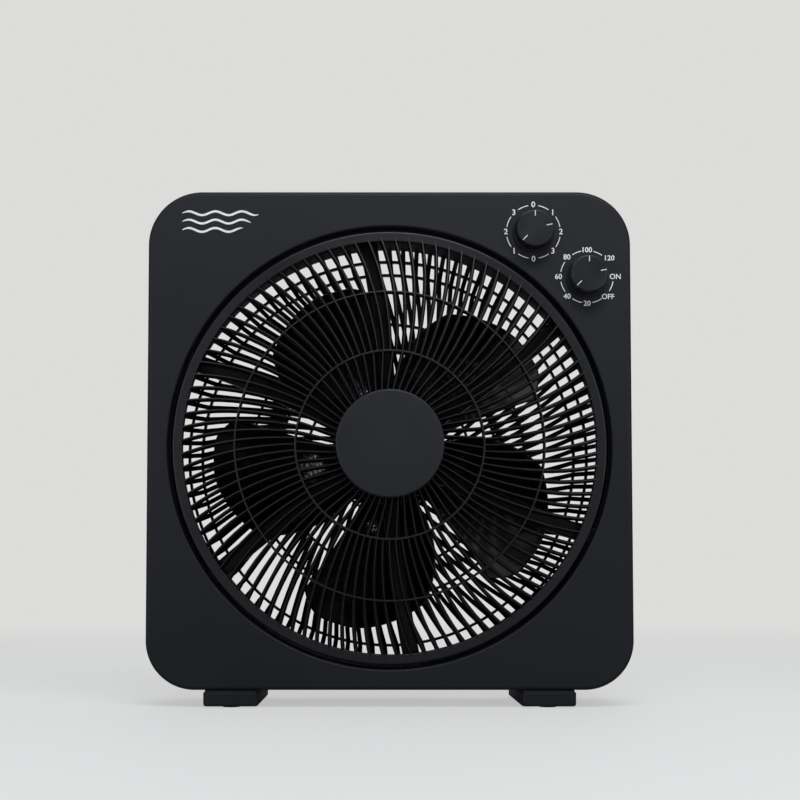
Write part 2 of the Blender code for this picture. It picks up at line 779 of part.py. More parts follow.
def make_rear_grille():
    ring = 0.0024
    bands = [(REAR_DISC_RADIUS - 0.002, REAR_RINGS[0] - ring / 2, "ribs"), (0, REAR_RINGS[0] + ring / 2, "ring")]
    for radius in REAR_RINGS[1:]:
        bands.append((0, radius - ring / 2, "ribs"))
        bands.append((0, radius + ring / 2, "ring"))
    bands.append((0, REAR_RIM_INNER + 0.002, "ribs"))
    grille = lattice("rear_grille", REAR_RIBS, 0.0022, bands, lambda radius: 0.0, rear_outside, rear_inside)
    rim = turned("rim", [
        (REAR_RIM_INNER, rear_outside(REAR_RIM_INNER) + 0.0003),
        (REAR_RIM_OUTER, REAR_Y + 0.0032),
        (REAR_RIM_OUTER, REAR_Y + GAP),
        (REAR_RIM_INNER, REAR_Y + GAP),
    ], (0, 0, AXIS_Z), ROUND_SIDES)
    disc = tube("disc", 0.0100, REAR_DISC_RADIUS, REAR_END_Y - 0.0064, REAR_END_Y - 0.0018, (0, 0, AXIS_Z), 24)
    cut(disc, *[rod("motor_hole", 0.0018, 0.05, 0.09, (x, 0, z), 8) for x, z in motor_screws()])
    ears = [tube("ear", 0.0018, 0.0062, REAR_Y + GAP + 0.0001, REAR_Y + 0.0030, (x, 0, z), 10)
            for x, z in grille_ears()]
    join(grille, rim, disc)
    join(grille, *ears)
    finish(grille, BLACK, 0.5)
    for number, (x, z) in enumerate(grille_ears(), 1):
        screw(f"rear_grille_screw_{number}", 0.0034, 0.0020, 0.0015, 0.0080, (x, REAR_Y + 0.0033, z), "Y", -1)


# Controls and wiring

def make_knob(name, x, z):
    front = FRONT_Y - 0.0006 - KNOB_HEIGHT
    back = FRONT_Y - 0.0006
    profile = [
        (0, front),
        (KNOB_FACE_RADIUS - 0.0010, front),
        (KNOB_FACE_RADIUS, front + 0.0006),
        (KNOB_RADIUS - 0.0006, back - 0.0024),
        (KNOB_RADIUS, back),
        (KNOB_RADIUS - 0.0022, back),
        (KNOB_RADIUS - 0.0034, front + 0.0025),
        (0.0055, front + 0.0025),
        (0.0055, back - 0.0010),
        (KNOB_SHAFT_RADIUS + GAP, back - 0.0010),
        (KNOB_SHAFT_RADIUS + GAP, front + 0.0040),
        (0, front + 0.0040),
    ]
    finish(turned(name, profile, (x, 0, z), 24), BLACK, 0.45)


def make_control(body_name, shaft_name, size, x, z, shift=0.0):
    """A switch or timer body behind the panel, shifted along X from its knob shaft."""
    body_front = FRONT_Y + WALL + GAP
    depth = size[1]
    body = block(body_name, size, (x + shift, body_front + 0.0006 + depth / 2, z), 0.0015, 0, 1)
    cut(body, rod("socket", KNOB_SHAFT_RADIUS + GAP, FRONT_Y, body_front + 0.008, (x, 0, z), 14))
    finish(body, WHITE, 0.5)
    shaft = rod(shaft_name, KNOB_SHAFT_RADIUS, FRONT_Y - KNOB_HEIGHT + 0.0040, body_front + 0.0076, (x, 0, z), 14)
    finish(shaft, STEEL if shaft_name == "timer_shaft" else WHITE, 0.4)


def make_controls():
    make_knob("speed_knob", SPEED_X, SPEED_Z)
    make_knob("timer_knob", TIMER_X, TIMER_Z)
    make_control("speed_switch", "speed_shaft", (0.025, 0.020, 0.025), SPEED_X, SPEED_Z)
    make_control("timer_body", "timer_shaft", (0.034, 0.026, 0.026), TIMER_X, TIMER_Z, 0.004)
    capacitor = block("capacitor", (0.015, 0.024, 0.038), (-0.1725, 0.030, 0.081), 0.002, 0, 1)
    finish(capacitor, BLACK, 0.4)
    terminals = block("terminal_block", (0.013, 0.014, 0.030), (0.1735, 0.005, 0.081), 0.001, 0, 1)
    entries = [(0.1735, 0, 0.081 + offset) for offset in (-0.009, 0.0, 0.009)]
    cut(terminals, *[rod("entry", 0.0024, -0.02, 0.006, place, 8) for place in entries])
    finish(terminals, WHITE, 0.5)


# Assembly

def group_on_axis(name, place, members):
    """An empty on a joint's axis that carries the pieces that turn about it."""
    axis = bpy.data.objects.new(name, None)
    axis.location = place
    bpy.context.collection.objects.link(axis)
    bpy.context.view_layer.update()
    for member in members:
        piece = bpy.data.objects[member]
        piece.parent = axis
        piece.matrix_parent_inverse = axis.matrix_world.inverted()


def main():
    for obj in list(bpy.data.objects):
        bpy.data.objects.remove(obj)
    make_front_housing()
    make_rear_housing()
    make_cord_gland()
    make_feet()
    make_housing_screws()
    make_front_spider()
    make_front_grille()
    make_grille_cap()
    make_grille_drive()
    make_fan_blade()
    make_shaft_parts()
    make_motor()
    make_rear_grille()
    make_controls()
    group_on_axis("fan_axis", (0, 0, AXIS_Z), ("fan_blade", "motor_shaft", "drive_pin", "blade_nut", "rotor"))
    group_on_axis("grille_axis", (0, 0, AXIS_Z),
                  ("front_grille", "grille_cap", "grille_shaft", "grille_bush", "grille_screw"))
    group_on_axis("speed_axis", (SPEED_X, 0, SPEED_Z), ("speed_knob", "speed_shaft"))
    group_on_axis("timer_axis", (TIMER_X, 0, TIMER_Z), ("timer_knob", "timer_shaft"))


main()
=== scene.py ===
import json
import math

import bmesh
import bpy
import numpy as np
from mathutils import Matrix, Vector


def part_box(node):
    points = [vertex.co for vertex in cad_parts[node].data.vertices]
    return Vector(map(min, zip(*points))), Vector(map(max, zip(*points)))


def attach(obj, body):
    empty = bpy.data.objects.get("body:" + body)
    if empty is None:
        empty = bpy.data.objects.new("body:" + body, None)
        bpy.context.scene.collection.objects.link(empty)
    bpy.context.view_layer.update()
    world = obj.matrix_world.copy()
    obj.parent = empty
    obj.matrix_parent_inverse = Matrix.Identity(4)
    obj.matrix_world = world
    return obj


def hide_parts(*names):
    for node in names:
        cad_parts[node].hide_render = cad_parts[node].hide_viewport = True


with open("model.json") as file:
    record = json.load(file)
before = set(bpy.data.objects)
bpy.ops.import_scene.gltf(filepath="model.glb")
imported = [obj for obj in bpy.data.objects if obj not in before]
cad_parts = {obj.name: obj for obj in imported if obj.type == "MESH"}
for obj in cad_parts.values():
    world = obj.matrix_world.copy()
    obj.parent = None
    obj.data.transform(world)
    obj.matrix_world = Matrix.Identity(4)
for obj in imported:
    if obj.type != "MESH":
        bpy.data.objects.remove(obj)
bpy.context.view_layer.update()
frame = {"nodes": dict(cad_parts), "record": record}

scene = bpy.context.scene
scene.view_settings.view_transform = "Standard"
cadNodes = frame["nodes"]
fanAxis = (0.0, 0.199)                 # x and z of the line that the fan and the round grille turn on
fullTurn = 2 * math.pi


# Shells: a shell is a pair, its points (rows of x, y, z) and its faces (rows of four point numbers)

def gridFaces(rows, columns, closedRows=False, closedColumns=True):
    # One face for each cell of a rows by columns grid, row i joined to row i+1 and column j to column j+1
    i = np.arange(rows if closedRows else rows - 1)[:, None]
    j = np.arange(columns if closedColumns else columns - 1)[None, :]
    nextI, nextJ = (i + 1) % rows, (j + 1) % columns
    corners = [i * columns + j, i * columns + nextJ, nextI * columns + nextJ, nextI * columns + j]
    return np.stack([np.broadcast_to(c, (i.size, j.size)) for c in corners], -1).reshape(-1, 4)


def joinShells(shells):
    # Puts shells one after another; each one's face numbers go up by the points before it
    counts = np.cumsum([0] + [len(points) for points, faces in shells])
    points = np.concatenate([points for points, faces in shells])
    faces = np.concatenate([faces + count for (_, faces), count in zip(shells, counts)])
    return points, faces


def softCorners(corners, radii, steps=5, closed=True):
    # Rounds a polyline: at corner P, A and B lie one radius before and after it, and the curve is
    # (1-t)^2 A + 2t(1-t) P + t^2 B, with one more point a little outside A and B to hold the flats flat
    corners = np.asarray(corners, float)
    radii = np.broadcast_to(np.asarray(radii, float), len(corners)).copy()
    back = np.roll(corners, 1, 0) - corners
    ahead = np.roll(corners, -1, 0) - corners
    if not closed:
        back[0], ahead[0], back[-1], ahead[-1] = 1e-9, 1e-9, 1e-9, 1e-9
        radii[0], radii[-1] = 0, 0
    backLength = np.linalg.norm(back, axis=1, keepdims=True)
    aheadLength = np.linalg.norm(ahead, axis=1, keepdims=True)
    reach = np.minimum(np.minimum(radii[:, None], backLength * 0.34), aheadLength * 0.34)
    back, ahead = back / backLength * reach, ahead / aheadLength * reach
    t = np.linspace(0, 1, steps)[None, :, None]
    curve = corners[:, None] + (1 - t) ** 2 * back[:, None] + t ** 2 * ahead[:, None]
    first = corners[:, None] + 1.4 * back[:, None]
    last = corners[:, None] + 1.4 * ahead[:, None]
    return np.concatenate([first, curve, last], 1).reshape(-1, corners.shape[1])


def turned(profile, centre=fanAxis, sides=96, closed=False):
    # Turns (radius, y) rows about a line along Y: x = centre x + radius cos a, z = centre z + radius sin a
    profile = np.asarray(profile, float)
    angle = np.arange(sides) * fullTurn / sides
    x = centre[0] + profile[:, :1] * np.cos(angle)
    z = centre[1] + profile[:, :1] * np.sin(angle)
    y = np.broadcast_to(profile[:, 1:], x.shape)
    return np.stack([x, y, z], -1).reshape(-1, 3), gridFaces(len(profile), sides, closedRows=closed)


def softRing(corners, radii, steps, sides, centre=fanAxis):
    # Turns a closed section of (radius, y) corners with the corners rounded
    return turned(softCorners(corners, radii, steps), centre, sides, closed=True)


def upright(shell, x=0, y=0):
    # Stands a shell that was turned about a line along Y on a line along Z through x, y
    points, faces = shell
    return np.stack([x + points[:, 0], y + points[:, 2], points[:, 1]], -1), faces


def cappedShell(rows):
    # Closes a list of rows into a solid: at both ends the shell runs in to the middle of the row
    rows = [rows[0].mean(0) + 0 * rows[0], *rows, rows[-1].mean(0) + 0 * rows[-1]]
    return np.concatenate(rows), gridFaces(len(rows), len(rows[0]))


def carried(lines, across, section):
    # Carries a closed section along many lines at once: point = line + u across, and v more along Y, where
    # lines and across are (lines, stations, 3) and section is (corners, 2); the two ends are capped
    points = lines[:, :, None] + section[:, :1] * across[:, :, None]
    points[..., 1] += section[:, 1]
    count, stations, corners = points.shape[:3]
    sides = gridFaces(stations, corners)
    half = np.arange(corners // 2 - 1)
    cap = np.stack([half, half + 1, corners - 2 - half, corners - 1 - half], -1)
    one = np.concatenate([sides, cap, cap + (stations - 1) * corners])
    faces = one[None] + (np.arange(count) * stations * corners)[:, None, None]
    return points.reshape(-1, 3), faces.reshape(-1, 4)


def makePiece(name, shell, material, body, replaced=(), sharpAngle=38):
    # Makes the object: the points and faces go in as whole arrays, doubles at the poles are joined, and
    # the faces of every closed shell are turned outwards
    points, faces = shell
    mesh = bpy.data.meshes.new(name)
    mesh.vertices.add(len(points))
    mesh.vertices.foreach_set("co", points.astype(np.float32).ravel())
    mesh.loops.add(faces.size)
    mesh.loops.foreach_set("vertex_index", faces.astype(np.int32).ravel())
    mesh.polygons.add(len(faces))
    mesh.polygons.foreach_set("loop_start", np.arange(0, faces.size, 4, dtype=np.int32))
    mesh.update(calc_edges=True)
    tidyMesh(mesh, sharpAngle)
    piece = bpy.data.objects.new(name, mesh)
    scene.collection.objects.link(piece)
    mesh.materials.append(material)
    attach(piece, body)
    if replaced:
        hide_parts(*replaced)
    return piece


def tidyMesh(mesh, sharpAngle, join=2e-7):
    work = bmesh.new()
    work.from_mesh(mesh)
    bmesh.ops.remove_doubles(work, verts=work.verts, dist=join)
    bmesh.ops.dissolve_degenerate(work, edges=work.edges, dist=1e-8)
    bmesh.ops.recalc_face_normals(work, faces=work.faces)
    work.to_mesh(mesh)
    work.free()
    mesh.polygons.foreach_set("use_smooth", np.ones(len(mesh.polygons), bool))
    mesh.set_sharp_from_angle(angle=math.radians(sharpAngle))
    mesh.update()


def cutAway(piece, cutters, sharpAngle=38):
    # Takes the cutter shells out of the piece with an exact Boolean and leaves a plain mesh
    cutter = makePiece(piece.name + "_cutter", joinShells(cutters), piece.data.materials[0], "housing")
    tool = piece.modifiers.new("cut", "BOOLEAN")
    tool.object, tool.operation, tool.solver = cutter, "DIFFERENCE", "EXACT"
    bpy.context.view_layer.update()
    cut = bpy.data.meshes.new_from_object(piece.evaluated_get(bpy.context.evaluated_depsgraph_get()))
    piece.modifiers.clear()
    old, piece.data = piece.data, cut
    bpy.data.meshes.remove(old)
    bpy.data.objects.remove(cutter)
    cut.polygons.foreach_set("use_smooth", np.ones(len(cut.polygons), bool))
    cut.set_sharp_from_angle(angle=math.radians(sharpAngle))


def joinPieces(piece, others):
    # Adds the other pieces' meshes to this one and removes their objects
    work = bmesh.new()
    work.from_mesh(piece.data)
    for other in others:
        work.from_mesh(other.data)
    work.to_mesh(piece.data)
    work.free()
    for other in others:
        bpy.data.objects.remove(other)


# Finishes

def nodeTools(tree):
    # For one node tree: node makes a node with its values set, carry makes one that carries a range of
    # values onto another range, and link joins two sockets

    def node(kind, **values):
        made = tree.nodes.new("ShaderNode" + kind)
        for key, value in values.items():
            if key in made.inputs:
                made.inputs[key].default_value = value
            else:
                setattr(made, key, value)
        return made

    def carry(fromLow, fromHigh, toLow=0.0, toHigh=1.0, **values):
        ends = {"From Min": fromLow, "From Max": fromHigh, "To Min": toLow, "To Max": toHigh}
        return node("MapRange", **ends, **values)

    def link(a, output, b, entry):
        tree.links.new(a.outputs[output], b.inputs[entry])

    return node, carry, link


def finish(name, dark, light, roughness, toneScale=9.0, grainScale=1500.0, grainDepth=0.25, metallic=0.0,
           bands=None, coat=0.0, coatRoughness=0.12, specular=0.5, wear=0.0, speckle=0.0):
    # A moulded or metal finish: cloudy tone between dark and light, roughness that wanders with it, a fine
    # grain as bump, and at choice fine parallel bands, a clear coat, faint rubbed streaks and light speckles
    material = bpy.data.materials.new(name)
    material.use_nodes = True
    tree = material.node_tree
    tree.nodes.clear()
    node, carry, link = nodeTools(tree)
    factor, first, second, mixed = 0, 6, 7, 2      # sockets of a colour mix

    output = node("OutputMaterial")
    shader = node("BsdfPrincipled", Metallic=metallic, **{
        "Coat Weight": coat, "Coat Roughness": coatRoughness, "Specular IOR Level": specular})
    link(shader, "BSDF", output, "Surface")
    place = node("TexCoord")

    cloud = node("TexNoise", Scale=toneScale, Detail=6.0, Roughness=0.55)
    link(place, "Object", cloud, "Vector")
    tone = node("ValToRGB")
    tone.color_ramp.elements[0].position, tone.color_ramp.elements[1].position = 0.3, 0.7
    tone.color_ramp.elements[0].color = (*dark, 1)
    tone.color_ramp.elements[1].color = (*light, 1)
    link(cloud, "Fac", tone, "Fac")
    colour, colourOutput = tone, "Color"

    height = node("TexNoise", Scale=grainScale, Detail=3.0, Roughness=0.6)
    link(place, "Object", height, "Vector")

    if speckle:
        dust = node("TexNoise", Scale=grainScale * 0.33, Detail=2.0)
        link(place, "Object", dust, "Vector")
        pick = carry(0.62, 0.75, 0.0, speckle)
        link(dust, "Fac", pick, "Value")
        blend = node("Mix", data_type="RGBA")
        link(pick, "Result", blend, factor)
        link(tone, "Color", blend, first)
        blend.inputs[second].default_value = (*[min(1.0, c * 2.2 + 0.01) for c in light], 1)
        colour, colourOutput = blend, mixed

    if bands:
        stretch = node("Mapping", Scale=bands["direction"])
        link(place, "Object", stretch, "Vector")
        height = node("TexNoise", Scale=bands["scale"], Detail=2.0)
        link(stretch, "Vector", height, "Vector")
        shade = node("Mix", data_type="RGBA", blend_type="MULTIPLY")
        shade.inputs[factor].default_value = bands["strength"]
        link(colour, colourOutput, shade, first)
        level = node("ValToRGB")
        level.color_ramp.elements[0].position, level.color_ramp.elements[1].position = 0.4, 0.6
        level.color_ramp.elements[0].color = (0.35, 0.35, 0.35, 1)
        link(height, "Fac", level, "Fac")
        link(level, "Color", shade, second)
        colour, colourOutput = shade, mixed
    link(colour, colourOutput, shader, "Base Color")

    rough = carry(0.3, 0.7, *roughness)
    link(cloud, "Fac", rough, "Value")
    if wear:
        rub = node("Mapping", Scale=(14.0, 14.0, 90.0), Rotation=(0.2, 0.5, 0.1))
        link(place, "Object", rub, "Vector")
        streak = node("TexNoise", Scale=3.0, Detail=5.0, Roughness=0.7)
        link(rub, "Vector", streak, "Vector")
        amount = carry(0.55, 0.75, 0.0, wear)
        link(streak, "Fac", amount, "Value")
        less = node("Math", operation="SUBTRACT")
        link(rough, "Result", less, 0)
        link(amount, "Result", less, 1)
        link(less, "Value", shader, "Roughness")
    else:
        link(rough, "Result", shader, "Roughness")

    bump = node("Bump", Strength=grainDepth, Distance=0.00006)
    link(height, "Fac", bump, "Height")
    link(bump, "Normal", shader, "Normal")
    return material


charcoal = finish("charcoalPlastic", (0.0083, 0.0088, 0.0118), (0.0109, 0.0115, 0.0153), (0.5, 0.6),
                  toneScale=7.0, grainScale=1400.0, grainDepth=0.35, specular=0.33, wear=0.07, speckle=0.12)
# The cap's plastic has a lighter base than the charcoal housing: painted light, so the low centre of the fan
# looks as lit as the top of the panel
capPlasticPaintedLight = finish("capPlasticPaintedLight", (0.0132, 0.0134, 0.0176), (0.0164, 0.0166, 0.0216), (0.46, 0.54),
                    toneScale=22.0, grainScale=1400.0, grainDepth=0.35, specular=0.38, wear=0.05, speckle=0.1)
ribPlastic = finish("ribPlastic", (0.0083, 0.0088, 0.0112), (0.0115, 0.0121, 0.0152), (0.36, 0.46),
                    toneScale=14.0, grainScale=1600.0, grainDepth=0.25, specular=0.4, speckle=0.1)
# Near-black and dull: painted shade, put on the front grille's rib flanks and on the tunnel wall where they lie
# in shade
paintedShadeFinish = finish("paintedShadeDark", (0.0028, 0.0029, 0.0034), (0.0045, 0.0047, 0.0054), (0.62, 0.75),
                 toneScale=14.0, grainScale=1600.0, grainDepth=0.3, specular=0.12)
blackPlastic = finish("blackPlastic", (0.0028, 0.0031, 0.0042), (0.0046, 0.0051, 0.0068), (0.3, 0.4),
                      toneScale=12.0, grainScale=1300.0, grainDepth=0.2, specular=0.35)
bladePlastic = finish("bladePlastic", (0.003, 0.0034, 0.005), (0.005, 0.0057, 0.0084), (0.13, 0.2),
                      toneScale=18.0, grainScale=420.0, grainDepth=0.08, coat=0.7, coatRoughness=0.05)
knobPlastic = finish("knobPlastic", (0.008, 0.0084, 0.0104), (0.0108, 0.0113, 0.014), (0.34, 0.42),
                     toneScale=60.0, grainScale=2200.0, grainDepth=0.25, speckle=0.08)
whitePrint = finish("whitePrint", (0.88, 0.88, 0.87), (0.96, 0.96, 0.95), (0.45, 0.6),
                    toneScale=160.0, grainScale=3000.0, grainDepth=0.2)
padRubber = finish("padRubber", (0.016, 0.016, 0.017), (0.028, 0.028, 0.029), (0.7, 0.85),
                   toneScale=80.0, grainScale=1800.0, grainDepth=0.8, specular=0.3)
screwSteel = finish("screwSteel", (0.42, 0.42, 0.44), (0.6, 0.6, 0.61), (0.24, 0.42),
                    toneScale=250.0, grainScale=2600.0, grainDepth=0.3, metallic=1.0)
laminationSteel = finish("laminationSteel", (0.2, 0.2, 0.21), (0.34, 0.34, 0.35), (0.35, 0.5), metallic=1.0,
                         toneScale=60.0, grainDepth=0.7,
                         bands={"direction": (1, 900, 1), "scale": 2.0, "strength": 0.7})
motorShell = finish("motorShell", (0.36, 0.37, 0.38), (0.52, 0.53, 0.54), (0.3, 0.5), metallic=1.0,
                    toneScale=130.0, grainScale=700.0, grainDepth=0.35)
copperWire = finish("copperWire", (0.42, 0.13, 0.05), (0.72, 0.3, 0.13), (0.2, 0.34), metallic=1.0, coat=0.5,
                    toneScale=90.0, grainDepth=1.0,
                    bands={"direction": (900, 30, 900), "scale": 2.0, "strength": 0.6})
bronze = finish("sinteredBronze", (0.3, 0.17, 0.07), (0.45, 0.28, 0.13), (0.45, 0.6), metallic=1.0,
                toneScale=300.0, grainScale=2600.0, grainDepth=0.9)
nylonWhite = finish("nylonWhite", (0.62, 0.61, 0.57), (0.74, 0.73, 0.69), (0.35, 0.5),
                    toneScale=90.0, grainScale=1500.0, grainDepth=0.3)
print("finishes made")


# Housing

housing = {
    "halfWidth": 0.186, "bottom": 0.0132, "top": 0.3967, "topCorner": 0.0415, "bottomCorner": 0.0375,
    "front": -0.05, "frontRound": 0.0032, "seam": 0.018, "seamGap": 0.0003, "rear": 0.052,
    "rearRound": 0.006, "wall": 0.0025, "opening": 0.1705, "openingRound": 0.0014, "lip": 0.0025,
    "lipBack": -0.0425,
    "duct": 0.1755, "ductWall": 0.002, "ductFront": -0.0285, "ductRound": 0.001, "arcSteps": 36,
    "sideSteps": 72,
    "post": (0.158, 0.1638), "postMiddle": 0.20495, "postRadius": 0.005, "postHole": 0.0018, "postBack": 0.01,
    "well": 0.0042, "wellFloor": 0.03, "tube": 0.0064, "tubeHole": 0.0022, "tubeFront": 0.0186,
    "tubeFloor": 0.0202, "gland": (0.14, 0.045), "glandHole": (0.0063, 0.04, 0.06),
}
pocket = {"wide": 0.052, "tall": 0.00675, "middle": 0.3862, "corner": 0.003, "cutFront": 0.03, "floor": 0.031,
          "skin": 0.0022, "skinCorner": 0.0048, "steps": 48}


def housingOutline(inset):
    # Once round the housing as rows of x, z: for each corner an arc about its own centre of radius
    # corner - inset, then the straight side to the next corner
    h = housing
    low, high, wide = h["bottom"], h["top"], h["halfWidth"]
    top, bottom = h["topCorner"], h["bottomCorner"]
    corners = [(wide - top, high - top, top, 0.0), (-wide + top, high - top, top, 0.25),
               (-wide + bottom, low + bottom, bottom, 0.5), (wide - bottom, low + bottom, bottom, 0.75)]
    swing = np.linspace(0, 0.25, h["arcSteps"])
    arcs = []
    for x, z, radius, start in corners:
        angle = (start + swing) * fullTurn
        arcs.append(np.stack([x + (radius - inset) * np.cos(angle), z + (radius - inset) * np.sin(angle)], -1))
    share = np.linspace(0, 1, h["sideSteps"] + 1)[1:-1, None]
    sides = [arcs[k][-1] + share * (arcs[(k + 1) % 4][0] - arcs[k][-1]) for k in range(4)]
    return np.concatenate([part for pair in zip(arcs, sides) for part in pair])


outlineAngle = np.arctan2(housingOutline(0)[:, 1] - fanAxis[1], housingOutline(0)[:, 0])


def circleRow(radius, y):
    # The points of a circle about the fan axis, each one in line with the outline's point of that number
    x, z = radius * np.cos(outlineAngle), fanAxis[1] + radius * np.sin(outlineAngle)
    return np.stack([x, np.full_like(x, y), z], -1)


def outlineRow(inset, y):
    flat = housingOutline(inset)
    return np.stack([flat[:, 0], np.full(len(flat), y), flat[:, 1]], -1)


def rowsShell(rows):
    # Closes a list of rows into a ring of faces, the last row joined to the first
    return np.concatenate(rows), gridFaces(len(rows), len(rows[0]), closedRows=True)


def edgeArc(radius, y, direction, steps):
    # A quarter circle from the face round to the side: inset = radius (1 - sin a) and
    # y = y + direction radius (1 - cos a)
    turn = np.linspace(0, math.pi / 2, steps)
    return [(radius * (1 - math.sin(a)), y + direction * radius * (1 - math.cos(a))) for a in turn]


def seamEdge(y, direction):
    # The edge of a shell at the parting line as (inset, y), with a small chamfer on the outside
    steps = [(0, 0.0012), (0, 0.0005), (0.0004, 0.0001), (0.0008, 0), (housing["wall"], 0)]
    return [(inset, y + direction * away) for inset, away in steps]


def postPlaces():
    # The middles of the four posts that take the housing screws, as x, z
    across, up = housing["post"]
    return [(side * across, housing["postMiddle"] + level * up) for side in (-1, 1) for level in (-1, 1)]


def pocketRow(grow, y, corner):
    # The outline of the hand hold at the top of the back, a slot with round ends: x = c cos a + straight part
    wide, tall = pocket["wide"] + grow, pocket["tall"] + grow
    angle = (np.arange(pocket["steps"]) + 0.5) / pocket["steps"] * fullTurn
    x = np.sign(np.cos(angle)) * (wide - corner) + corner * np.cos(angle)
    z = pocket["middle"] + np.sign(np.sin(angle)) * (tall - corner) + corner * np.sin(angle)
    return np.stack([x, np.full_like(x, y), z], -1)


def faceArray(piece, name):
    # The centres or the normals of all the faces of a piece, one row each
    values = np.zeros(len(piece.data.polygons) * 3, np.float32)
    piece.data.polygons.foreach_get(name, values)
    return values.reshape(-1, 3)


def secondFinish(piece, material, chosen):
    # Gives the chosen faces a second material
    piece.data.materials.append(material)
    piece.data.polygons.foreach_set("material_index", chosen.astype(np.int32))


def frontHousing():
    h = housing
    front, wall, seam = h["front"], h["wall"], h["seam"]
    hole, soft, lip, lipBack = h["opening"], h["openingRound"], h["opening"] + h["lip"], h["lipBack"]
    back, small, support = front + wall, 0.0003, 0.0008
    circles = [(lip, back), (lip, lipBack - small), (lip - small, lipBack), (hole + small, lipBack),
               (hole, lipBack - small)]
    circles += [(hole + soft * (1 - math.cos(a)), front + soft * (1 - math.sin(a)))
                for a in np.linspace(0, math.pi / 2, 8)]
    circles += [(hole + soft + 0.0006, front)]
    rows = [circleRow(radius, y) for radius, y in circles]
    inner, outer = rows[-1], outlineRow(h["frontRound"] + support, front)
    rows += [inner + share * (outer - inner) for share in (0.34, 0.67, 1.0)]
    outlines = edgeArc(h["frontRound"], front, 1, 10) + [(0, front + h["frontRound"] + support)]
    outlines += seamEdge(seam, -1) + [(wall, back + 0.0005), (wall + 0.0005, back)]
    rows += [outlineRow(inset, y) for inset, y in outlines]

    base, end, radius, bore = back - 0.0005, h["postBack"], h["postRadius"], h["postHole"]
    post = [(0, base), (radius, base), (radius, end - 0.0005), (radius - 0.0004, end), (bore, end), (bore, 0.0),
            (0, 0.0)]
    shells = [rowsShell(rows)] + [turned(post, place, 32) for place in postPlaces()]
    makePiece("front_housing_shell", joinShells(shells), charcoal, "housing", ("front_housing",))


def rearHousing():
    h, p = housing, pocket
    rear, wall, seam = h["rear"], h["wall"], h["seam"] + h["seamGap"]
    back, beyond, small, support = rear - wall, rear + 0.003, 0.0004, 0.0008
    duct, ductOut, ductFront, soft = h["duct"], h["duct"] + h["ductWall"], h["ductFront"], h["ductRound"]
    circles = [(ductOut, back), (ductOut, ductFront + small), (ductOut - small, ductFront),
               (duct + small, ductFront), (duct, ductFront + small), (duct, rear - soft - small)]
    circles += [(duct + soft * (1 - math.cos(a)), rear - soft * (1 - math.sin(a)))
                for a in np.linspace(0, math.pi / 2, 6)]
    rows = [circleRow(radius, y) for radius, y in circles]
    inner, outer = circleRow(duct + 1.5 * soft, rear), outlineRow(h["rearRound"] + support, rear)
    rows += [inner + share * (outer - inner) for share in (0.0, 0.34, 0.67, 1.0)]
    outlines = edgeArc(h["rearRound"], rear, -1, 12) + [(0, rear - h["rearRound"] - support)]
    outlines += seamEdge(seam, 1) + [(wall, rear - h["rearRound"]), (wall + 0.0035, back)]
    rows += [outlineRow(inset, y) for inset, y in outlines]
    shell = makePiece("rear_housing_shell", rowsShell(rows), charcoal, "housing", ("rear_housing",))

    # Screw wells, the way in for the gland and the hand hold are cut out
    well = [(0, h["wellFloor"]), (h["well"], h["wellFloor"]), (h["well"], beyond), (0, beyond)]
    wells = [turned(well, place, 40) for place in postPlaces()]
    bore, first, last = h["glandHole"]
    gland = turned([(0, first), (bore, first), (bore, last), (0, last)], h["gland"], 40)
    hold = cappedShell([pocketRow(0.0, y, p["corner"]) for y in (p["cutFront"], beyond)])
    cutAway(shell, wells + [gland, hold])

    # The wall of the air tunnel is darker than the outside: it takes the near-black dull finish as painted
    # shade, for the shade inside the tunnel
    centres = faceArray(shell, "center")
    inTunnel = np.hypot(centres[:, 0] - fanAxis[0], centres[:, 2] - fanAxis[1]) < duct + support
    secondFinish(shell, paintedShadeFinish, inTunnel & (centres[:, 1] < rear - 2 * support))

    # The tubes round the wells and the tray of the hand hold
    tube = [(h["well"], rear - 0.0002), (h["tube"], rear - 0.0008), (h["tube"], h["tubeFront"]),
            (h["tubeHole"], h["tubeFront"]), (h["tubeHole"], h["tubeFloor"]), (h["well"], h["tubeFloor"])]
    tubes = [softRing(tube, 0.0003, 3, 40, place) for place in postPlaces()]
    outside = [pocketRow(p["skin"], y, p["skinCorner"]) for y in (p["floor"] - p["skin"], back + 0.0002)]
    inside = [pocketRow(0.0, y, p["corner"]) for y in (rear - 0.0004, p["floor"])]
    extra = makePiece("pocket_liner", joinShells(tubes + [cappedShell(outside + inside)]), charcoal, "housing")
    joinPieces(shell, [extra])


frontHousing()
rearHousing()
print("housing made")


# Feet

feet = {"centre": 0.121, "halfWidth": 0.021, "front": -0.0495, "back": 0.056, "low": 0.0008, "high": 0.0129,
        "corner": 0.004, "round": 0.0018, "neck": 0.0011, "neckHeight": 0.0016, "shoulder": 0.0006,
        "screws": (-0.025, 0.034), "well": (0.0042, -0.002, 0.0065), "steps": 64}


def footRow(side, inset, z):
    f = feet
    deep, middle = (f["back"] - f["front"]) / 2, (f["back"] + f["front"]) / 2
    corner = max(f["corner"] - inset, 0.0008)
    angle = (np.arange(f["steps"]) + 0.5) / f["steps"] * fullTurn
    x = side * f["centre"] + np.sign(np.cos(angle)) * (f["halfWidth"] - inset - corner) + corner * np.cos(angle)
    y = middle + np.sign(np.sin(angle)) * (deep - inset - corner) + corner * np.sin(angle)
    return np.stack([x, y, np.full_like(x, z)], -1)


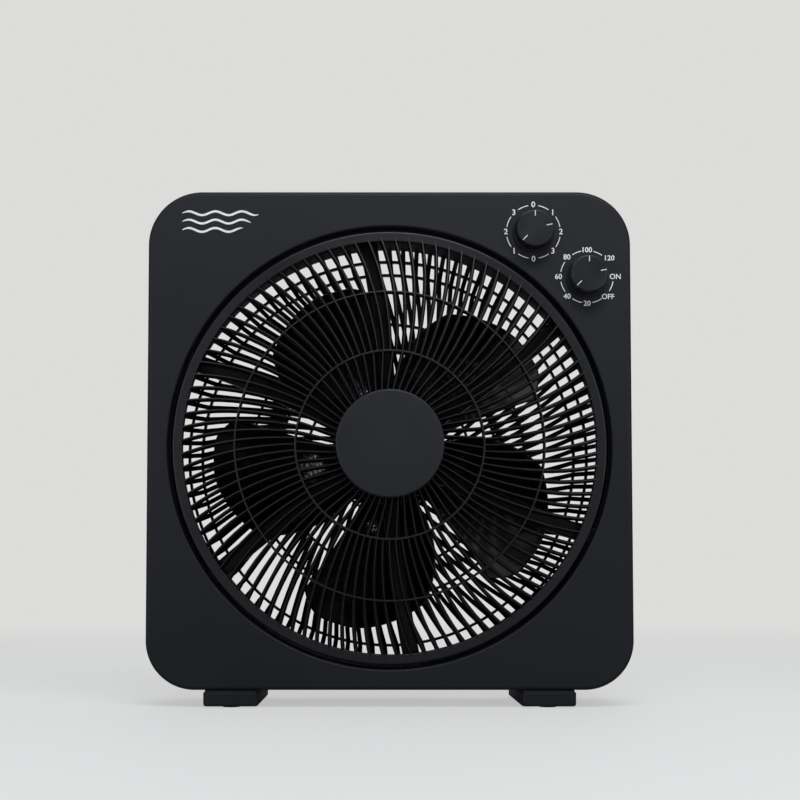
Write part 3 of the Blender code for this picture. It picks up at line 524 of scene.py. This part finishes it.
def makeFoot(side, name):
    f = feet
    soft, top = f["shoulder"], f["high"] - f["neckHeight"]
    body = [(f["round"] + 0.0015, f["low"])] + edgeArc(f["round"], f["low"], 1, 7)
    body += [(0.0, f["low"] + f["round"] + soft), (0.0, top - 2 * soft)]
    body += [(soft - soft * math.cos(a), top - soft + soft * math.sin(a))
             for a in np.linspace(0, math.pi / 2, 5)]
    body += [(f["neck"], top), (f["neck"], f["high"])]
    block = cappedShell([footRow(side, inset, z) for inset, z in body])
    foot = makePiece(name + "_block", block, charcoal, "housing", (name,))
    radius, low, high = f["well"]
    well = turned([(0, low), (radius, low), (radius, high), (0, high)], (0, 0), 32)
    cutAway(foot, [upright(well, side * f["centre"], y) for y in f["screws"]])


def makePad(name):
    # A low rubber disc with a rounded lower edge and a shallow ring groove, turned about an upright line
    low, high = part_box(name)
    radius, x, y = (high.x - low.x) / 2, (low.x + high.x) / 2, (low.y + high.y) / 2
    groove = ((0.55, 0), (0.58, 0.0004), (0.66, 0.0004), (0.69, 0))
    groove = [(radius * share, low.z + up) for share, up in groove]
    profile = [(0, low.z), *groove, (radius, low.z), (radius, high.z), (0, high.z)]
    disc = turned(softCorners(profile, 0.0004, 4, closed=False), (0, 0), 64)
    makePiece(name + "_disc", upright(disc, x, y), padRubber, "housing", (name,))


makeFoot(-1, "foot_left")
makeFoot(1, "foot_right")
for name in ("foot_left_pad_front", "foot_left_pad_rear", "foot_right_pad_front", "foot_right_pad_rear"):
    makePad(name)
print("feet made")


# Round front grille

grille = {
    "rim": (0.1607, 0.1667), "rimInside": 0.159, "rimRadii": (0.0008, 0.0016, 0.0006, 0.0006), "depth": 0.008,
    "edge": -0.0492, "dish": 0.02, "middleRing": 0.118, "innerRing": 0.0715, "hub": 0.038,
    "outerRibs": 96, "innerRibs": 60, "outerSwirl": (-0.3, 6.2, 1.6), "innerSwirl": (4.2, 5.0, 1.5),
    "ribFront": 0.0012, "ribBack": 0.0033, "ringFront": 0.0012, "ringBack": 0.002, "stations": 9,
    "hubSection": ((0.0045, -0.068), (0.0355, -0.068), (0.038, -0.0678), (0.038, -0.06),
                   (0.036, -0.0598), (0.035, -0.065), (0.0045, -0.065)),
}


def grilleFront(radius):
    # Dished face: y = edge - dish (1 - (r / rim)^2)
    return grille["edge"] - grille["dish"] * (1 - np.minimum(radius / grille["rim"][0], 1) ** 2)


def ribSection(front, back, depth):
    # Eight corners of a rib's section, wider at the back than at the front, with its front edge rounded
    u = np.concatenate([np.array([-0.5, -0.28, 0.28, 0.5]) * front, np.array([0.5, 0.35, -0.35, -0.5]) * back])
    v = np.array([0.0004, 0.0, 0.0, 0.0004, depth - 0.0003, depth, depth, depth - 0.0003])
    return np.stack([u, v], -1)


def squareTo(lines):
    # The unit vectors square to the lines in the plane of the front, found from the slope of the lines
    slope = np.gradient(lines, axis=-2)
    slope[..., 1] = 0
    slope /= np.linalg.norm(slope, axis=-1, keepdims=True)
    return np.stack([-slope[..., 2], slope[..., 1], slope[..., 0]], -1)


def radialRibs(count, start, radii, swirl, face, section):
    # Rib k runs through radii r at the angle start + k turn / count + swirl(r)
    base = start + np.arange(count) * fullTurn / count
    angle = base[:, None] + swirl(radii)[None, :]
    y = np.broadcast_to(face(radii), angle.shape)
    lines = np.stack([radii * np.cos(angle), y, fanAxis[1] + radii * np.sin(angle)], -1)
    return carried(lines, squareTo(lines), section)


def ringBand(radius, front, back, face, depth):
    # A thin hoop whose front edge is narrower than its back
    y = float(face(radius))
    corners = [(radius - front / 2, y), (radius + front / 2, y),
               (radius + back / 2, y + depth), (radius - back / 2, y + depth)]
    return softRing(corners, 0.00035, 3, 240)


def swirlOf(share, first, sweep, power):
    # Angle of a rib at this share of its length: first + sweep share^power, in degrees
    return np.radians(first + sweep * share ** power)


def outerSwirl(radius):
    g = grille
    share = np.clip(radius - g["innerRing"], 0, 1) / (g["rim"][0] - g["innerRing"])
    return swirlOf(share, *g["outerSwirl"])


def innerSwirl(radius):
    g = grille
    share = np.clip(g["innerRing"] - radius, 0, 1) / (g["innerRing"] - g["hub"])
    return swirlOf(share, *g["innerSwirl"])


def frontGrille():
    g = grille
    depth, small = g["depth"], 0.0012
    section = ribSection(g["ribFront"], g["ribBack"], depth)
    outer = np.linspace(g["innerRing"], g["rim"][0] + small, g["stations"] + 2)
    inner = np.linspace(g["hub"] - small, g["innerRing"], g["stations"])
    low, inside, outside = float(grilleFront(g["rim"][0])), g["rimInside"], g["rim"][1]
    rim = [(inside, low), (outside, low), (outside, low + depth), (inside, low + depth)]
    shells = [
        radialRibs(g["outerRibs"], 0.0, outer, outerSwirl, grilleFront, section),
        radialRibs(g["innerRibs"], 0.0, inner, innerSwirl, lambda r: grilleFront(r) + 0.0004, section),
        softRing(rim, g["rimRadii"], 6, 256),
        ringBand(g["middleRing"], g["ringFront"], g["ringBack"], grilleFront, depth * 0.9),
        ringBand(g["innerRing"], g["ringFront"] + 0.0002, g["ringBack"], grilleFront, depth),
        softRing(g["hubSection"], 0.0005, 4, 128),
    ]
    piece = makePiece("front_grille_ribs", joinShells(shells), ribPlastic, "grille", ("front_grille",),
                      24)
    # The faces that don't face forward, the drafted flanks of the ribs most of all, get the near-black dull
    # finish: painted shade for the shade they lie in
    secondFinish(piece, paintedShadeFinish, faceArray(piece, "normal")[:, 1] > -0.8)


cap = {"fall": 0.0003, "round": (0.0016, 0.0014), "wall": 0.0022, "sideFrom": 0.003,
       "chamfer": (0.0005, 0.0006)}


def grilleCap():
    # A shallow disc: the face falls a little towards the edge, then a rounded edge and a short side wall
    low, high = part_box("grille_cap")
    radius, face, back = (high.x - low.x) / 2, low.y, high.y
    inside, behind = radius - cap["wall"], face + cap["wall"]
    r = np.linspace(0, inside, 12)
    dome = np.stack([r, face + cap["fall"] * (r / radius) ** 2], -1)
    turn = np.linspace(0, math.pi / 2, 9)
    (wide, deep), (chamferWide, chamferDeep) = cap["round"], cap["chamfer"]
    edge = np.stack([radius - wide + wide * np.sin(turn), face + cap["fall"] + deep * (1 - np.cos(turn))], -1)
    side = [(radius, face + cap["sideFrom"]), (radius, back - chamferDeep), (radius - chamferWide, back),
            (inside, back), (inside, behind), (0, behind)]
    makePiece("grille_cap_disc", turned(np.concatenate([dome, edge, side]), fanAxis, 160), capPlasticPaintedLight, "grille",
              ("grille_cap",))


frontGrille()
grilleCap()
print("front grille made")


# Spider behind the grille

spider = {
    "arms": 6, "start": 35.6, "bend": -2.6, "bendFrom": 0.073, "bendOver": 0.077, "width": 0.013,
    "front": -0.038, "back": -0.0295, "groove": 0.0086, "grooveFloor": -0.0358, "inner": 0.04, "outer": 0.171,
    "armRadii": (0.0003, 0.0016, 0.0016, 0.0003, 0.0003, 0.0006, 0.0006, 0.0003),
    "rim": ((0.169, -0.0378), (0.174, -0.0378), (0.174, -0.0472), (0.1795, -0.0472), (0.1795, -0.0448),
            (0.1763, -0.0448), (0.1763, -0.03), (0.1635, -0.03), (0.1635, -0.0332), (0.169, -0.0332)),
    "plate": ((0.0035, -0.0402), (0.0262, -0.0402), (0.027, -0.0396), (0.027, -0.0378), (0.0035, -0.0378)),
    "ring": ((0.0249, -0.0383), (0.043, -0.0383), (0.043, -0.0305), (0.0249, -0.0305)),
}


def spiderArms():
    # Each arm is a channel open to the back, carried out along the radius and leaning by a few degrees
    s = spider
    half, slot = s["width"] / 2, s["groove"] / 2
    depth, floor = s["back"] - s["front"], s["grooveFloor"] - s["front"]
    corners = [(-half, depth), (-half, 0), (half, 0), (half, depth),
               (slot, depth), (slot, floor), (-slot, floor), (-slot, depth)]
    section = softCorners(corners, s["armRadii"], 5)
    radii = np.linspace(s["inner"], s["outer"], 16)

    def lean(radius):
        return np.radians(s["bend"] - s["bend"] * (radius - s["bendFrom"]) / s["bendOver"])

    return radialRibs(s["arms"], math.radians(s["start"]), radii, lean, lambda r: s["front"] + 0 * r, section)


def frontSpider():
    s = spider
    shells = [spiderArms(), softRing(s["rim"], 0.0006, 4, 240), softRing(s["plate"], 0.0004, 4, 96),
              softRing(s["ring"], 0.001, 5, 128)]
    makePiece("front_spider_frame", joinShells(shells), blackPlastic, "housing", ("front_spider",))


frontSpider()
print("spider made")


# Fan

fan = {
    "blades": 5, "firstEdge": 24.5, "root": 0.045, "tip": 0.1447, "thick": 0.002, "rootRise": 0.034,
    "riseLoss": 0.01, "camber": 0.0045, "level": 0.0305, "stepsOut": 44, "stepsAcross": 44,
    "tipCorners": (0.015, 0.02), "leading": (-1.0, 2.0, 0.066, 0.064), "trailing": (60.0, 18.0, 0.05, 0.0768),
    "hubSection": ((0.0042, 0.01), (0.04, 0.01), (0.046, 0.0145), (0.046, 0.05), (0.044, 0.05),
                   (0.044, 0.016), (0.039, 0.0122), (0.0085, 0.0122), (0.0085, 0.0185), (0.0042, 0.0185)),
    "hubRadii": (0.0003, 0.0022, 0.0022, 0.0007, 0.0007, 0.0015, 0.0015, 0.0008, 0.0005, 0.0003),
}


def bladeSurface(out, across, start):
    # out runs 0..1 from hub to tip and across 0..1 from leading to trailing edge. The tip is rounded at both
    # corners, the leading edge sweeps forward, the trailing edge sweeps back, and the chord turns and cambers
    f = fan
    leadCorner, trailCorner = f["tipCorners"]
    corner = np.where(across < 0.3, leadCorner * ((0.3 - across) / 0.3) ** 2,
                      np.where(across > 0.5, trailCorner * ((across - 0.5) / 0.5) ** 2, 0))
    radius = f["root"] + (f["tip"] - corner - f["root"]) * out
    first, sweep, begin, reach = f["leading"]
    leading = first - sweep * np.maximum(radius - begin, 0) / reach
    first, sweep, begin, reach = f["trailing"]
    trailing = first - sweep * (np.maximum(radius - begin, 0) / reach) ** 1.76
    angle = np.radians(start + leading + (trailing - leading) * across)
    share = (radius - f["root"]) / (f["tip"] - f["root"])
    rise = f["rootRise"] - f["riseLoss"] * share
    y = f["level"] + rise * (0.5 - across) + f["camber"] * (1 - (2 * across - 1) ** 2)
    return np.stack([radius * np.cos(angle), y, fanAxis[1] + radius * np.sin(angle)], -1)


def oneBlade(start):
    # The mid surface is thickened along its normal by half the thickness, which falls to nothing at the
    # tip and both edges as a quarter circle, so the blade closes with round edges
    f = fan
    loop = np.arange(2 * f["stepsAcross"]) / (2 * f["stepsAcross"]) * fullTurn
    across = (1 - np.cos(loop)) / 2
    side = np.sign(np.sin(loop))
    tipSteps = 1 - 0.03 * (1 - np.array([0.3, 0.55, 0.75, 0.9, 0.97, 1.0]))
    outSteps = np.concatenate([np.linspace(0, 0.97, f["stepsOut"]), tipSteps])
    out, around = np.meshgrid(outSteps, across, indexing="ij")
    middle = bladeSurface(out, around, start)
    small = 1e-3
    outSlope = (bladeSurface(np.minimum(out + small, 1.0), around, start)
                - bladeSurface(np.maximum(out - small, 0), around, start))
    acrossSlope = (bladeSurface(out, np.minimum(around + small, 1), start)
                   - bladeSurface(out, np.maximum(around - small, 0), start))
    normal = np.cross(outSlope, acrossSlope)
    normal /= np.maximum(np.linalg.norm(normal, axis=-1, keepdims=True), 1e-12)
    toEdge = np.minimum(np.minimum(around, 1 - around) * 90, (1 - out) * 100)
    full = np.clip(toEdge, 0, 1)
    half = f["thick"] / 2 * np.sqrt(np.clip(1 - (1 - full) ** 2, 0, 1)) * side[None, :]
    points = middle + normal * half[..., None]
    rootFlat = np.stack([points[0], points[0][(-np.arange(len(loop))) % len(loop)]]).mean(0)[None]
    points = np.concatenate([rootFlat, points])
    return points.reshape(-1, 3), gridFaces(len(points), len(loop))


def fanHub():
    # A cup open to the back: front face, rounded shoulder, skirt, then the inner wall and the boss
    return softRing(fan["hubSection"], fan["hubRadii"], 6, 144)


shells = [oneBlade(fan["firstEdge"] + 360 / fan["blades"] * k) for k in range(fan["blades"])] + [fanHub()]
makePiece("fan_blades", joinShells(shells), bladePlastic, "fan", ("fan_blade",), sharpAngle=50)
print("fan made")


# Rear grille

rear = {
    "ribs": 96, "rings": (0.07, 0.0925, 0.1165, 0.1568, 0.167), "ring": (0.002, 0.0026), "ribFront": 0.0033,
    "ribBack": 0.0038, "depth": 0.004, "kink": 0.1568, "start": -1.1, "lean": (0.31, 0.12, 0.1),
    "face": 0.0745, "fall": 0.0165, "flat": 0.11, "fallOver": 0.059, "innerStart": 0.0455, "split": 0.0925,
    "rimInside": 0.1782,
    "rim": ((0.1782, 0.0572), (0.1812, 0.0582), (0.1818, 0.0552), (0.1818, 0.0523), (0.1782, 0.0523)),
    "disc": ((0.01, 0.0701), (0.01, 0.0747), (0.047, 0.0747), (0.047, 0.0701)),
    "discRadii": (0.0004, 0.001, 0.0014, 0.0006), "earPlace": 0.1865, "earAngles": (45, 135, 225, 315),
    "ear": ((0.0018, 0.0524), (0.0018, 0.055), (0.0062, 0.055), (0.0062, 0.0524)),
}


def rearFace(radius):
    # Outer face of the back guard: flat in the middle, then falling off towards the rim
    return rear["face"] - rear["fall"] * np.clip((radius - rear["flat"]) / rear["fallOver"], 0, 1.08) ** 2


def rearSwirl(radius):
    # Each zone is a spiral, angle = lean ln(r / start of the zone): steep inside the kink ring, slight
    # between the two outer rings and outside them
    kink, second = rear["kink"], rear["rings"][-1]
    steep, slight, outermost = rear["lean"]
    inner = steep * np.log(np.minimum(radius, kink) / kink)
    between = slight * np.log(np.clip(radius, kink, second) / kink)
    return inner + between + outermost * np.log(np.maximum(radius, second) / second)


def rearGrille():
    g = rear
    section = ribSection(g["ribFront"], g["ribBack"], g["depth"]) * np.array([1, -1])
    toKink = np.linspace(g["split"], g["kink"], 8)
    outer = np.concatenate([toKink, np.linspace(g["kink"] + 0.004, g["rimInside"] + 0.0014, 4)])
    middle = np.linspace(g["innerStart"], g["split"], 5)
    start = math.radians(g["start"])
    shells = [radialRibs(g["ribs"], start, outer, rearSwirl, rearFace, section),
              radialRibs(g["ribs"] // 2, start, middle, rearSwirl, rearFace, section)]
    for ring in g["rings"]:
        shells.append(ringBand(ring, *g["ring"], lambda r: rearFace(r) - g["depth"], g["depth"] - 0.0003))
    shells += [softRing(g["rim"], 0.0006, 5, 240), softRing(g["disc"], g["discRadii"], 5, 128)]
    for angle in np.radians(g["earAngles"]):
        place = (g["earPlace"] * math.cos(angle), fanAxis[1] + g["earPlace"] * math.sin(angle))
        shells.append(softRing(g["ear"], 0.0004, 4, 48, place))
    makePiece("rear_grille_guard", joinShells(shells), blackPlastic, "housing", ("rear_grille",))


rearGrille()
print("rear grille made")


# Knobs and dials

knobs = {
    "speed": (0.111, 0.365), "timer": (0.152, 0.33), "front": -0.0636, "back": -0.0506, "face": 0.0138,
    "draft": 0.0007, "base": 0.016, "flange": 0.0016, "radii": (0, 0.0009, 0.0006, 0.0006, 0.0003, 0),
    "faceEdge": 0.001, "marks": ((0, 0.009, 0.0132), (78, 0.0088, 0.0134), (225, 0.0084, 0.0133)),
    "markWidth": 0.00058,
}
paint = 0.0001                        # how far a painted stroke reaches into the face and stands above it


def makeKnob(kind):
    k = knobs
    front, back, skirt = k["front"], k["back"], k["back"] - k["flange"]
    corners = [(0, front), (k["face"], front), (k["face"] + k["draft"], skirt), (k["base"], skirt),
               (k["base"], back), (0.002, back)]
    profile = softCorners(corners, k["radii"], 7, closed=False)
    profile = np.concatenate([[[0, front]], profile, [[0, back]]])
    piece = makePiece(kind + "_knob_body", turned(profile, k[kind], 128), knobPlastic, kind + "_dial",
                      (kind + "_knob",))
    # The knob's side, flange and back take the darker black plastic: painted shade round the knob's side and
    # base
    secondFinish(piece, blackPlastic, faceArray(piece, "center")[:, 1] > front + k["faceEdge"])
    marks = [strip(k[kind], math.radians(90 - clock), inner, outer, k["markWidth"], front)
             for clock, inner, outer in k["marks"]]
    makePiece(kind + "_knob_marks", joinShells(marks), whitePrint, kind + "_dial", ())


def barSection(width, rise):
    return np.array([(-width / 2, 0), (width / 2, 0), (width / 2, 2 * rise), (-width / 2, 2 * rise)])


def strip(centre, angle, inner, outer, width, face, rise=paint):
    # A painted stroke: a flat bar along the radius from inner to outer, with a little thickness
    direction = np.array([math.cos(angle), 0, math.sin(angle)])
    square = np.array([-math.sin(angle), 0, math.cos(angle)])
    start = np.array([centre[0], face - rise, centre[1]])
    line = start + np.linspace(inner, outer, 3)[:, None] * direction
    return carried(line[None], np.broadcast_to(square, (1, 3, 3)), barSection(width, rise))


def arcStroke(centre, middle, spread, radius, width, face):
    # A painted arc about a dial's centre, from middle - spread to middle + spread
    angle = np.linspace(middle - spread, middle + spread, 9)
    outward = np.stack([np.cos(angle), 0 * angle, np.sin(angle)], -1)
    line = np.array([centre[0], face - paint, centre[1]]) + radius * outward
    return carried(line[None], outward[None], barSection(width, paint))


def textMesh(text, size, x, z, face):
    # Block figures as a thin solid, stood upright on the panel: (x, y, z) goes to (x, face - z, y)
    curve = bpy.data.curves.new("figure", "FONT")
    curve.body, curve.size, curve.align_x, curve.align_y = text, size, "CENTER", "CENTER"
    curve.extrude, curve.resolution_u, curve.offset = 0.0001, 4, 0.00011
    holder = bpy.data.objects.new("figure", curve)
    scene.collection.objects.link(holder)
    bpy.context.view_layer.update()
    mesh = bpy.data.meshes.new_from_object(holder.evaluated_get(bpy.context.evaluated_depsgraph_get()))
    flat = np.zeros(len(mesh.vertices) * 3, np.float32)
    mesh.vertices.foreach_get("co", flat)
    flat = flat.reshape(-1, 3)
    mesh.vertices.foreach_set("co", np.stack([x + flat[:, 0], face - flat[:, 2], z + flat[:, 1]], -1).ravel())
    bpy.data.objects.remove(holder)
    bpy.data.curves.remove(curve)
    return mesh


dials = {
    "speed": {
        "labels": ((0, "0"), (45, "1"), (90, "2"), (135, "3"), (180, "0"), (225, "1"), (270, "2"), (315, "3")),
        "arcs": range(8), "arc": [11.8] * 8, "size": 0.0062, "ring": 0.0212,
    },
    "timer": {
        "labels": ((0, "100"), (50, "120"), (90, "ON"), (134, "OFF"), (180, "20"), (225, "40"), (270, "60"),
                   (315, "80")),
        "arcs": (0, 2, 3, 4, 5, 6, 7), "arc": (10.0, 0, 11.5, 11.0, 11.0, 11.8, 11.8, 10.5), "size": 0.0056,
        "ring": 0.0208,
    },
    "arcWidth": 0.00066, "arcInset": 0.0004, "spacing": 0.0011,
}


def dialPrint(kind):
    # Arcs halfway between the labels, then the labels, longer ones moved out a little at the sides
    d, centre, face = dials[kind], knobs[kind], housing["front"]
    labels = d["labels"]
    strokes = []
    for k in d["arcs"]:
        after = labels[k + 1][0] if k < 7 else 360
        middle, spread = math.radians(90 - (labels[k][0] + after) / 2), math.radians(d["arc"][k])
        radius = d["ring"] - dials["arcInset"]
        strokes.append(arcStroke(centre, middle, spread, radius, dials["arcWidth"], face))
    piece = makePiece(kind + "_dial_print", joinShells(strokes), whitePrint, "housing", ())
    work = bmesh.new()
    work.from_mesh(piece.data)
    for clock, text in labels:
        turn = math.radians(clock)
        reach = d["ring"] + dials["spacing"] * (len(text) - 1) * abs(math.sin(turn))
        x, z = centre[0] + reach * math.sin(turn), centre[1] + reach * math.cos(turn)
        mesh = textMesh(text, d["size"], x, z, face)
        work.from_mesh(mesh)
        bpy.data.meshes.remove(mesh)
    work.to_mesh(piece.data)
    work.free()


breeze = {"start": -0.16, "lines": ((0.3795, -0.101), (0.373, -0.107), (0.3665, -0.113)), "swing": 0.0015,
          "wave": 0.0205, "width": 0.0017, "taper": 0.006}


def breezeMark():
    # Three wavy lines of moving air: z = level + swing sin(turns), each shorter than the one above
    b = breeze
    lines = []
    for level, end in b["lines"]:
        x = np.linspace(b["start"], end, 60)
        z = level + b["swing"] * np.sin((x - b["start"]) / b["wave"] * fullTurn)
        line = np.stack([x, 0 * x + housing["front"] - paint, z], -1)
        width = b["width"] * np.sqrt(np.clip(np.minimum(x - b["start"], end - x) / b["taper"], 0.02, 1))
        lines.append(carried(line[None], (squareTo(line) * width[:, None])[None], barSection(1, paint)))
    makePiece("breeze_mark", joinShells(lines), whitePrint, "housing", ())


for kind in ("speed", "timer"):
    makeKnob(kind)
    dialPrint(kind)
breezeMark()
print("knobs and print made")


# Gland and screws

glandRing = {
    "section": ((0.0035, 0.0522), (0.0095, 0.0522), (0.0095, 0.054), (0.0066, 0.0542), (0.0062, 0.058),
                (0.0035, 0.058)),
    "radii": (0.0003, 0.0003, 0.0008, 0.0006, 0.0009, 0.0006),
}
screws = {"headDepth": 0.0018, "dome": 0.0013, "shank": 0.0015, "point": (0.0008, 0.0006), "crossTurn": 0.4,
          "crossReach": 0.55, "crossWidth": 0.24, "crossDepth": 0.0004, "crossHeight": 0.0009}


def cordGland():
    profile = softCorners(glandRing["section"], glandRing["radii"], 5)
    low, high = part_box("cord_gland")
    profile[:, 1] = np.clip(profile[:, 1], low.y, high.y)
    makePiece("cord_gland_ring", turned(profile, housing["gland"], 64, closed=True), blackPlastic, "housing",
              ("cord_gland",))


def makeScrew(name):
    # Pan head and shank turned about the screw's own line, and a cross cut into the head
    s = screws
    low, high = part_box(name)
    x, z, top = (low.x + high.x) / 2, (low.z + high.z) / 2, high.y
    radius, seat, shank = (high.x - low.x) / 2, high.y - s["headDepth"], s["shank"]
    point, taper = s["point"]
    dome = np.linspace(0, math.pi / 2, 8)
    head = np.stack([radius * np.sin(dome), top - s["dome"] * (1 - np.cos(dome)) ** 1.4], -1)
    rest = [(radius, seat), (shank, seat), (shank, low.y + taper), (point, low.y), (0, low.y)]
    screw = makePiece(name + "_head", turned(np.concatenate([head, rest]), (x, z), 36), screwSteel, "housing",
                      (name,))
    reach, width = radius * s["crossReach"], radius * s["crossWidth"]
    for angle in (s["crossTurn"], s["crossTurn"] + math.pi / 2):
        cutAway(screw, [strip((x, z), angle, -reach, reach, width, top - s["crossDepth"], s["crossHeight"])])


cordGland()
for group in ("housing_screw_", "rear_grille_screw_", "motor_screw_"):
    for k in range(1, 5):
        makeScrew(group + str(k))
print("gland and screws made")


# Finishes of the parts that stay as they are

keptFinish = {
    "screw_steel": screwSteel, "nylon_white": nylonWhite, "lamination_steel": laminationSteel,
    "motor_shell": motorShell, "copper_wire": copperWire, "bronze": bronze, "black_plastic": blackPlastic,
    "charcoal_plastic": charcoal, "blade_plastic": bladePlastic, "knob_plastic": knobPlastic,
    "pad_rubber": padRubber,
}
slotOf = {part["node"]: part["material_slot"] for part in frame["record"]["subparts"]}
for name, node in cadNodes.items():
    material = keptFinish[slotOf[name]]
    if not node.data.materials:
        node.data.materials.append(material)
    for index in range(len(node.data.materials)):
        node.data.materials[index] = material
print("kept parts finished")


# Floor, light and camera

studio = {
    "paper": (0.36, 0.36, 0.355), "lift": 0.48, "fade": (0.45, 2.2), "sky": (0.72, 0.72, 0.71),
    "skyStrength": 1.0, "room": (0.93, 0.96, 1.0), "depthRange": (-0.6, 0.8), "front": 0.09, "behind": 0.34,
    "heightRange": (-0.2, 0.9), "below": 0.3, "above": 1.3,
}


def studioFloor():
    # A pale disc that fades into the background colour away from the fan
    points, faces = upright(turned([(0, 0), (0.5, 0), (1.2, 0), (3.0, 0), (8.0, 0)], (0, 0), 96))
    mesh = bpy.data.meshes.new("floor")
    mesh.from_pydata(points.tolist(), [], faces.tolist())
    floor = bpy.data.objects.new("floor", mesh)
    scene.collection.objects.link(floor)
    tidyMesh(mesh, 30)
    material = bpy.data.materials.new("paper")
    material.use_nodes = True
    tree = material.node_tree
    node, carry, link = nodeTools(tree)
    shader = tree.nodes["Principled BSDF"]
    shader.inputs["Base Color"].default_value = (*studio["paper"], 1)
    shader.inputs["Roughness"].default_value = 0.7
    glow = node("Emission", Color=(*studio["sky"], 1), Strength=studio["skyStrength"])
    place = node("TexCoord")
    far = node("VectorMath", operation="LENGTH")
    ramp = carry(*studio["fade"], interpolation_type="SMOOTHSTEP")
    mix = node("MixShader")
    lift = node("Emission")
    path = node("LightPath")
    level = node("Math", operation="MULTIPLY")
    level.inputs[1].default_value = studio["lift"]
    both = node("AddShader")
    link(path, "Is Camera Ray", level, 0)
    link(level, "Value", lift, "Strength")
    link(shader, "BSDF", both, 0)
    link(lift, "Emission", both, 1)
    link(place, "Object", far, 0)
    link(far, "Value", ramp, "Value")
    link(ramp, "Result", mix, 0)
    link(both, "Shader", mix, 1)
    link(glow, "Emission", mix, 2)
    link(mix, "Shader", tree.nodes["Material Output"], "Surface")
    mesh.materials.append(material)


def studioWorld():
    # The camera sees an even pale backdrop; the surfaces see a room that is bright behind and above the
    # fan and dimmer in front of it
    world = bpy.data.worlds.new("studio")
    world.use_nodes = True
    scene.world = world
    tree = world.node_tree
    tree.nodes.clear()
    node, carry, link = nodeTools(tree)
    output = node("OutputWorld")
    seen = node("Background", Color=(*studio["sky"], 1), Strength=studio["skyStrength"])
    room = node("Background", Color=(*studio["room"], 1))
    place = node("TexCoord")
    split = node("SeparateXYZ")
    link(place, "Generated", split, "Vector")
    depth = carry(*studio["depthRange"], studio["front"], studio["behind"])
    link(split, "Y", depth, "Value")
    lift = carry(*studio["heightRange"], studio["below"], studio["above"])
    link(split, "Z", lift, "Value")
    both = node("Math", operation="MULTIPLY")
    link(depth, "Result", both, 0)
    link(lift, "Result", both, 1)
    link(both, "Value", room, "Strength")
    path = node("LightPath")
    mix = node("MixShader")
    link(path, "Is Camera Ray", mix, 0)
    link(room, "Background", mix, 1)
    link(seen, "Background", mix, 2)
    link(mix, "Shader", output, "Surface")


def softLight(name, place, target, size, power, colour=(1, 1, 1)):
    lamp = bpy.data.lights.new(name, "AREA")
    lamp.shape, lamp.size, lamp.size_y = "RECTANGLE", size[0], size[1]
    lamp.energy, lamp.color = power, colour
    holder = bpy.data.objects.new(name, lamp)
    scene.collection.objects.link(holder)
    aim = np.array(target) - np.array(place)
    holder.location = place
    holder.rotation_mode = "QUATERNION"
    holder.rotation_quaternion = Vector(aim.tolist()).to_track_quat("-Z", "Y")


def studioCamera():
    # Level with the lower part of the fan and tipped up by a few degrees
    lens = bpy.data.cameras.new("camera")
    lens.lens, lens.sensor_width = 62.75, 36.0
    lens.shift_x, lens.shift_y = 0.0326, 0.14
    lens.clip_start, lens.clip_end = 0.02, 60
    camera = bpy.data.objects.new("camera", lens)
    camera.location = (-0.012, -1.1134, 0.095)
    camera.rotation_euler = (math.radians(90 + 2.886), 0, 0)
    scene.collection.objects.link(camera)
    scene.camera = camera


studioFloor()
studioWorld()
softLight("keyLight", (0.12, -0.95, 1.4), (0, 0, 0.42), (0.9, 0.5), 12, (0.94, 0.97, 1.0))
softLight("leftWindow", (-1.05, -1.1, 0.45), (0, 0, 0.2), (0.16, 0.6), 3.2, (0.9, 0.95, 1.0))
softLight("rightWindow", (1.0, -1.1, 0.55), (0, 0, 0.2), (0.16, 0.6), 2.5, (0.9, 0.95, 1.0))
softLight("backLight", (0.2, 1.6, 1.4), (0, 0, 0.2), (1.6, 1.0), 4)
studioCamera()
print("studio made")
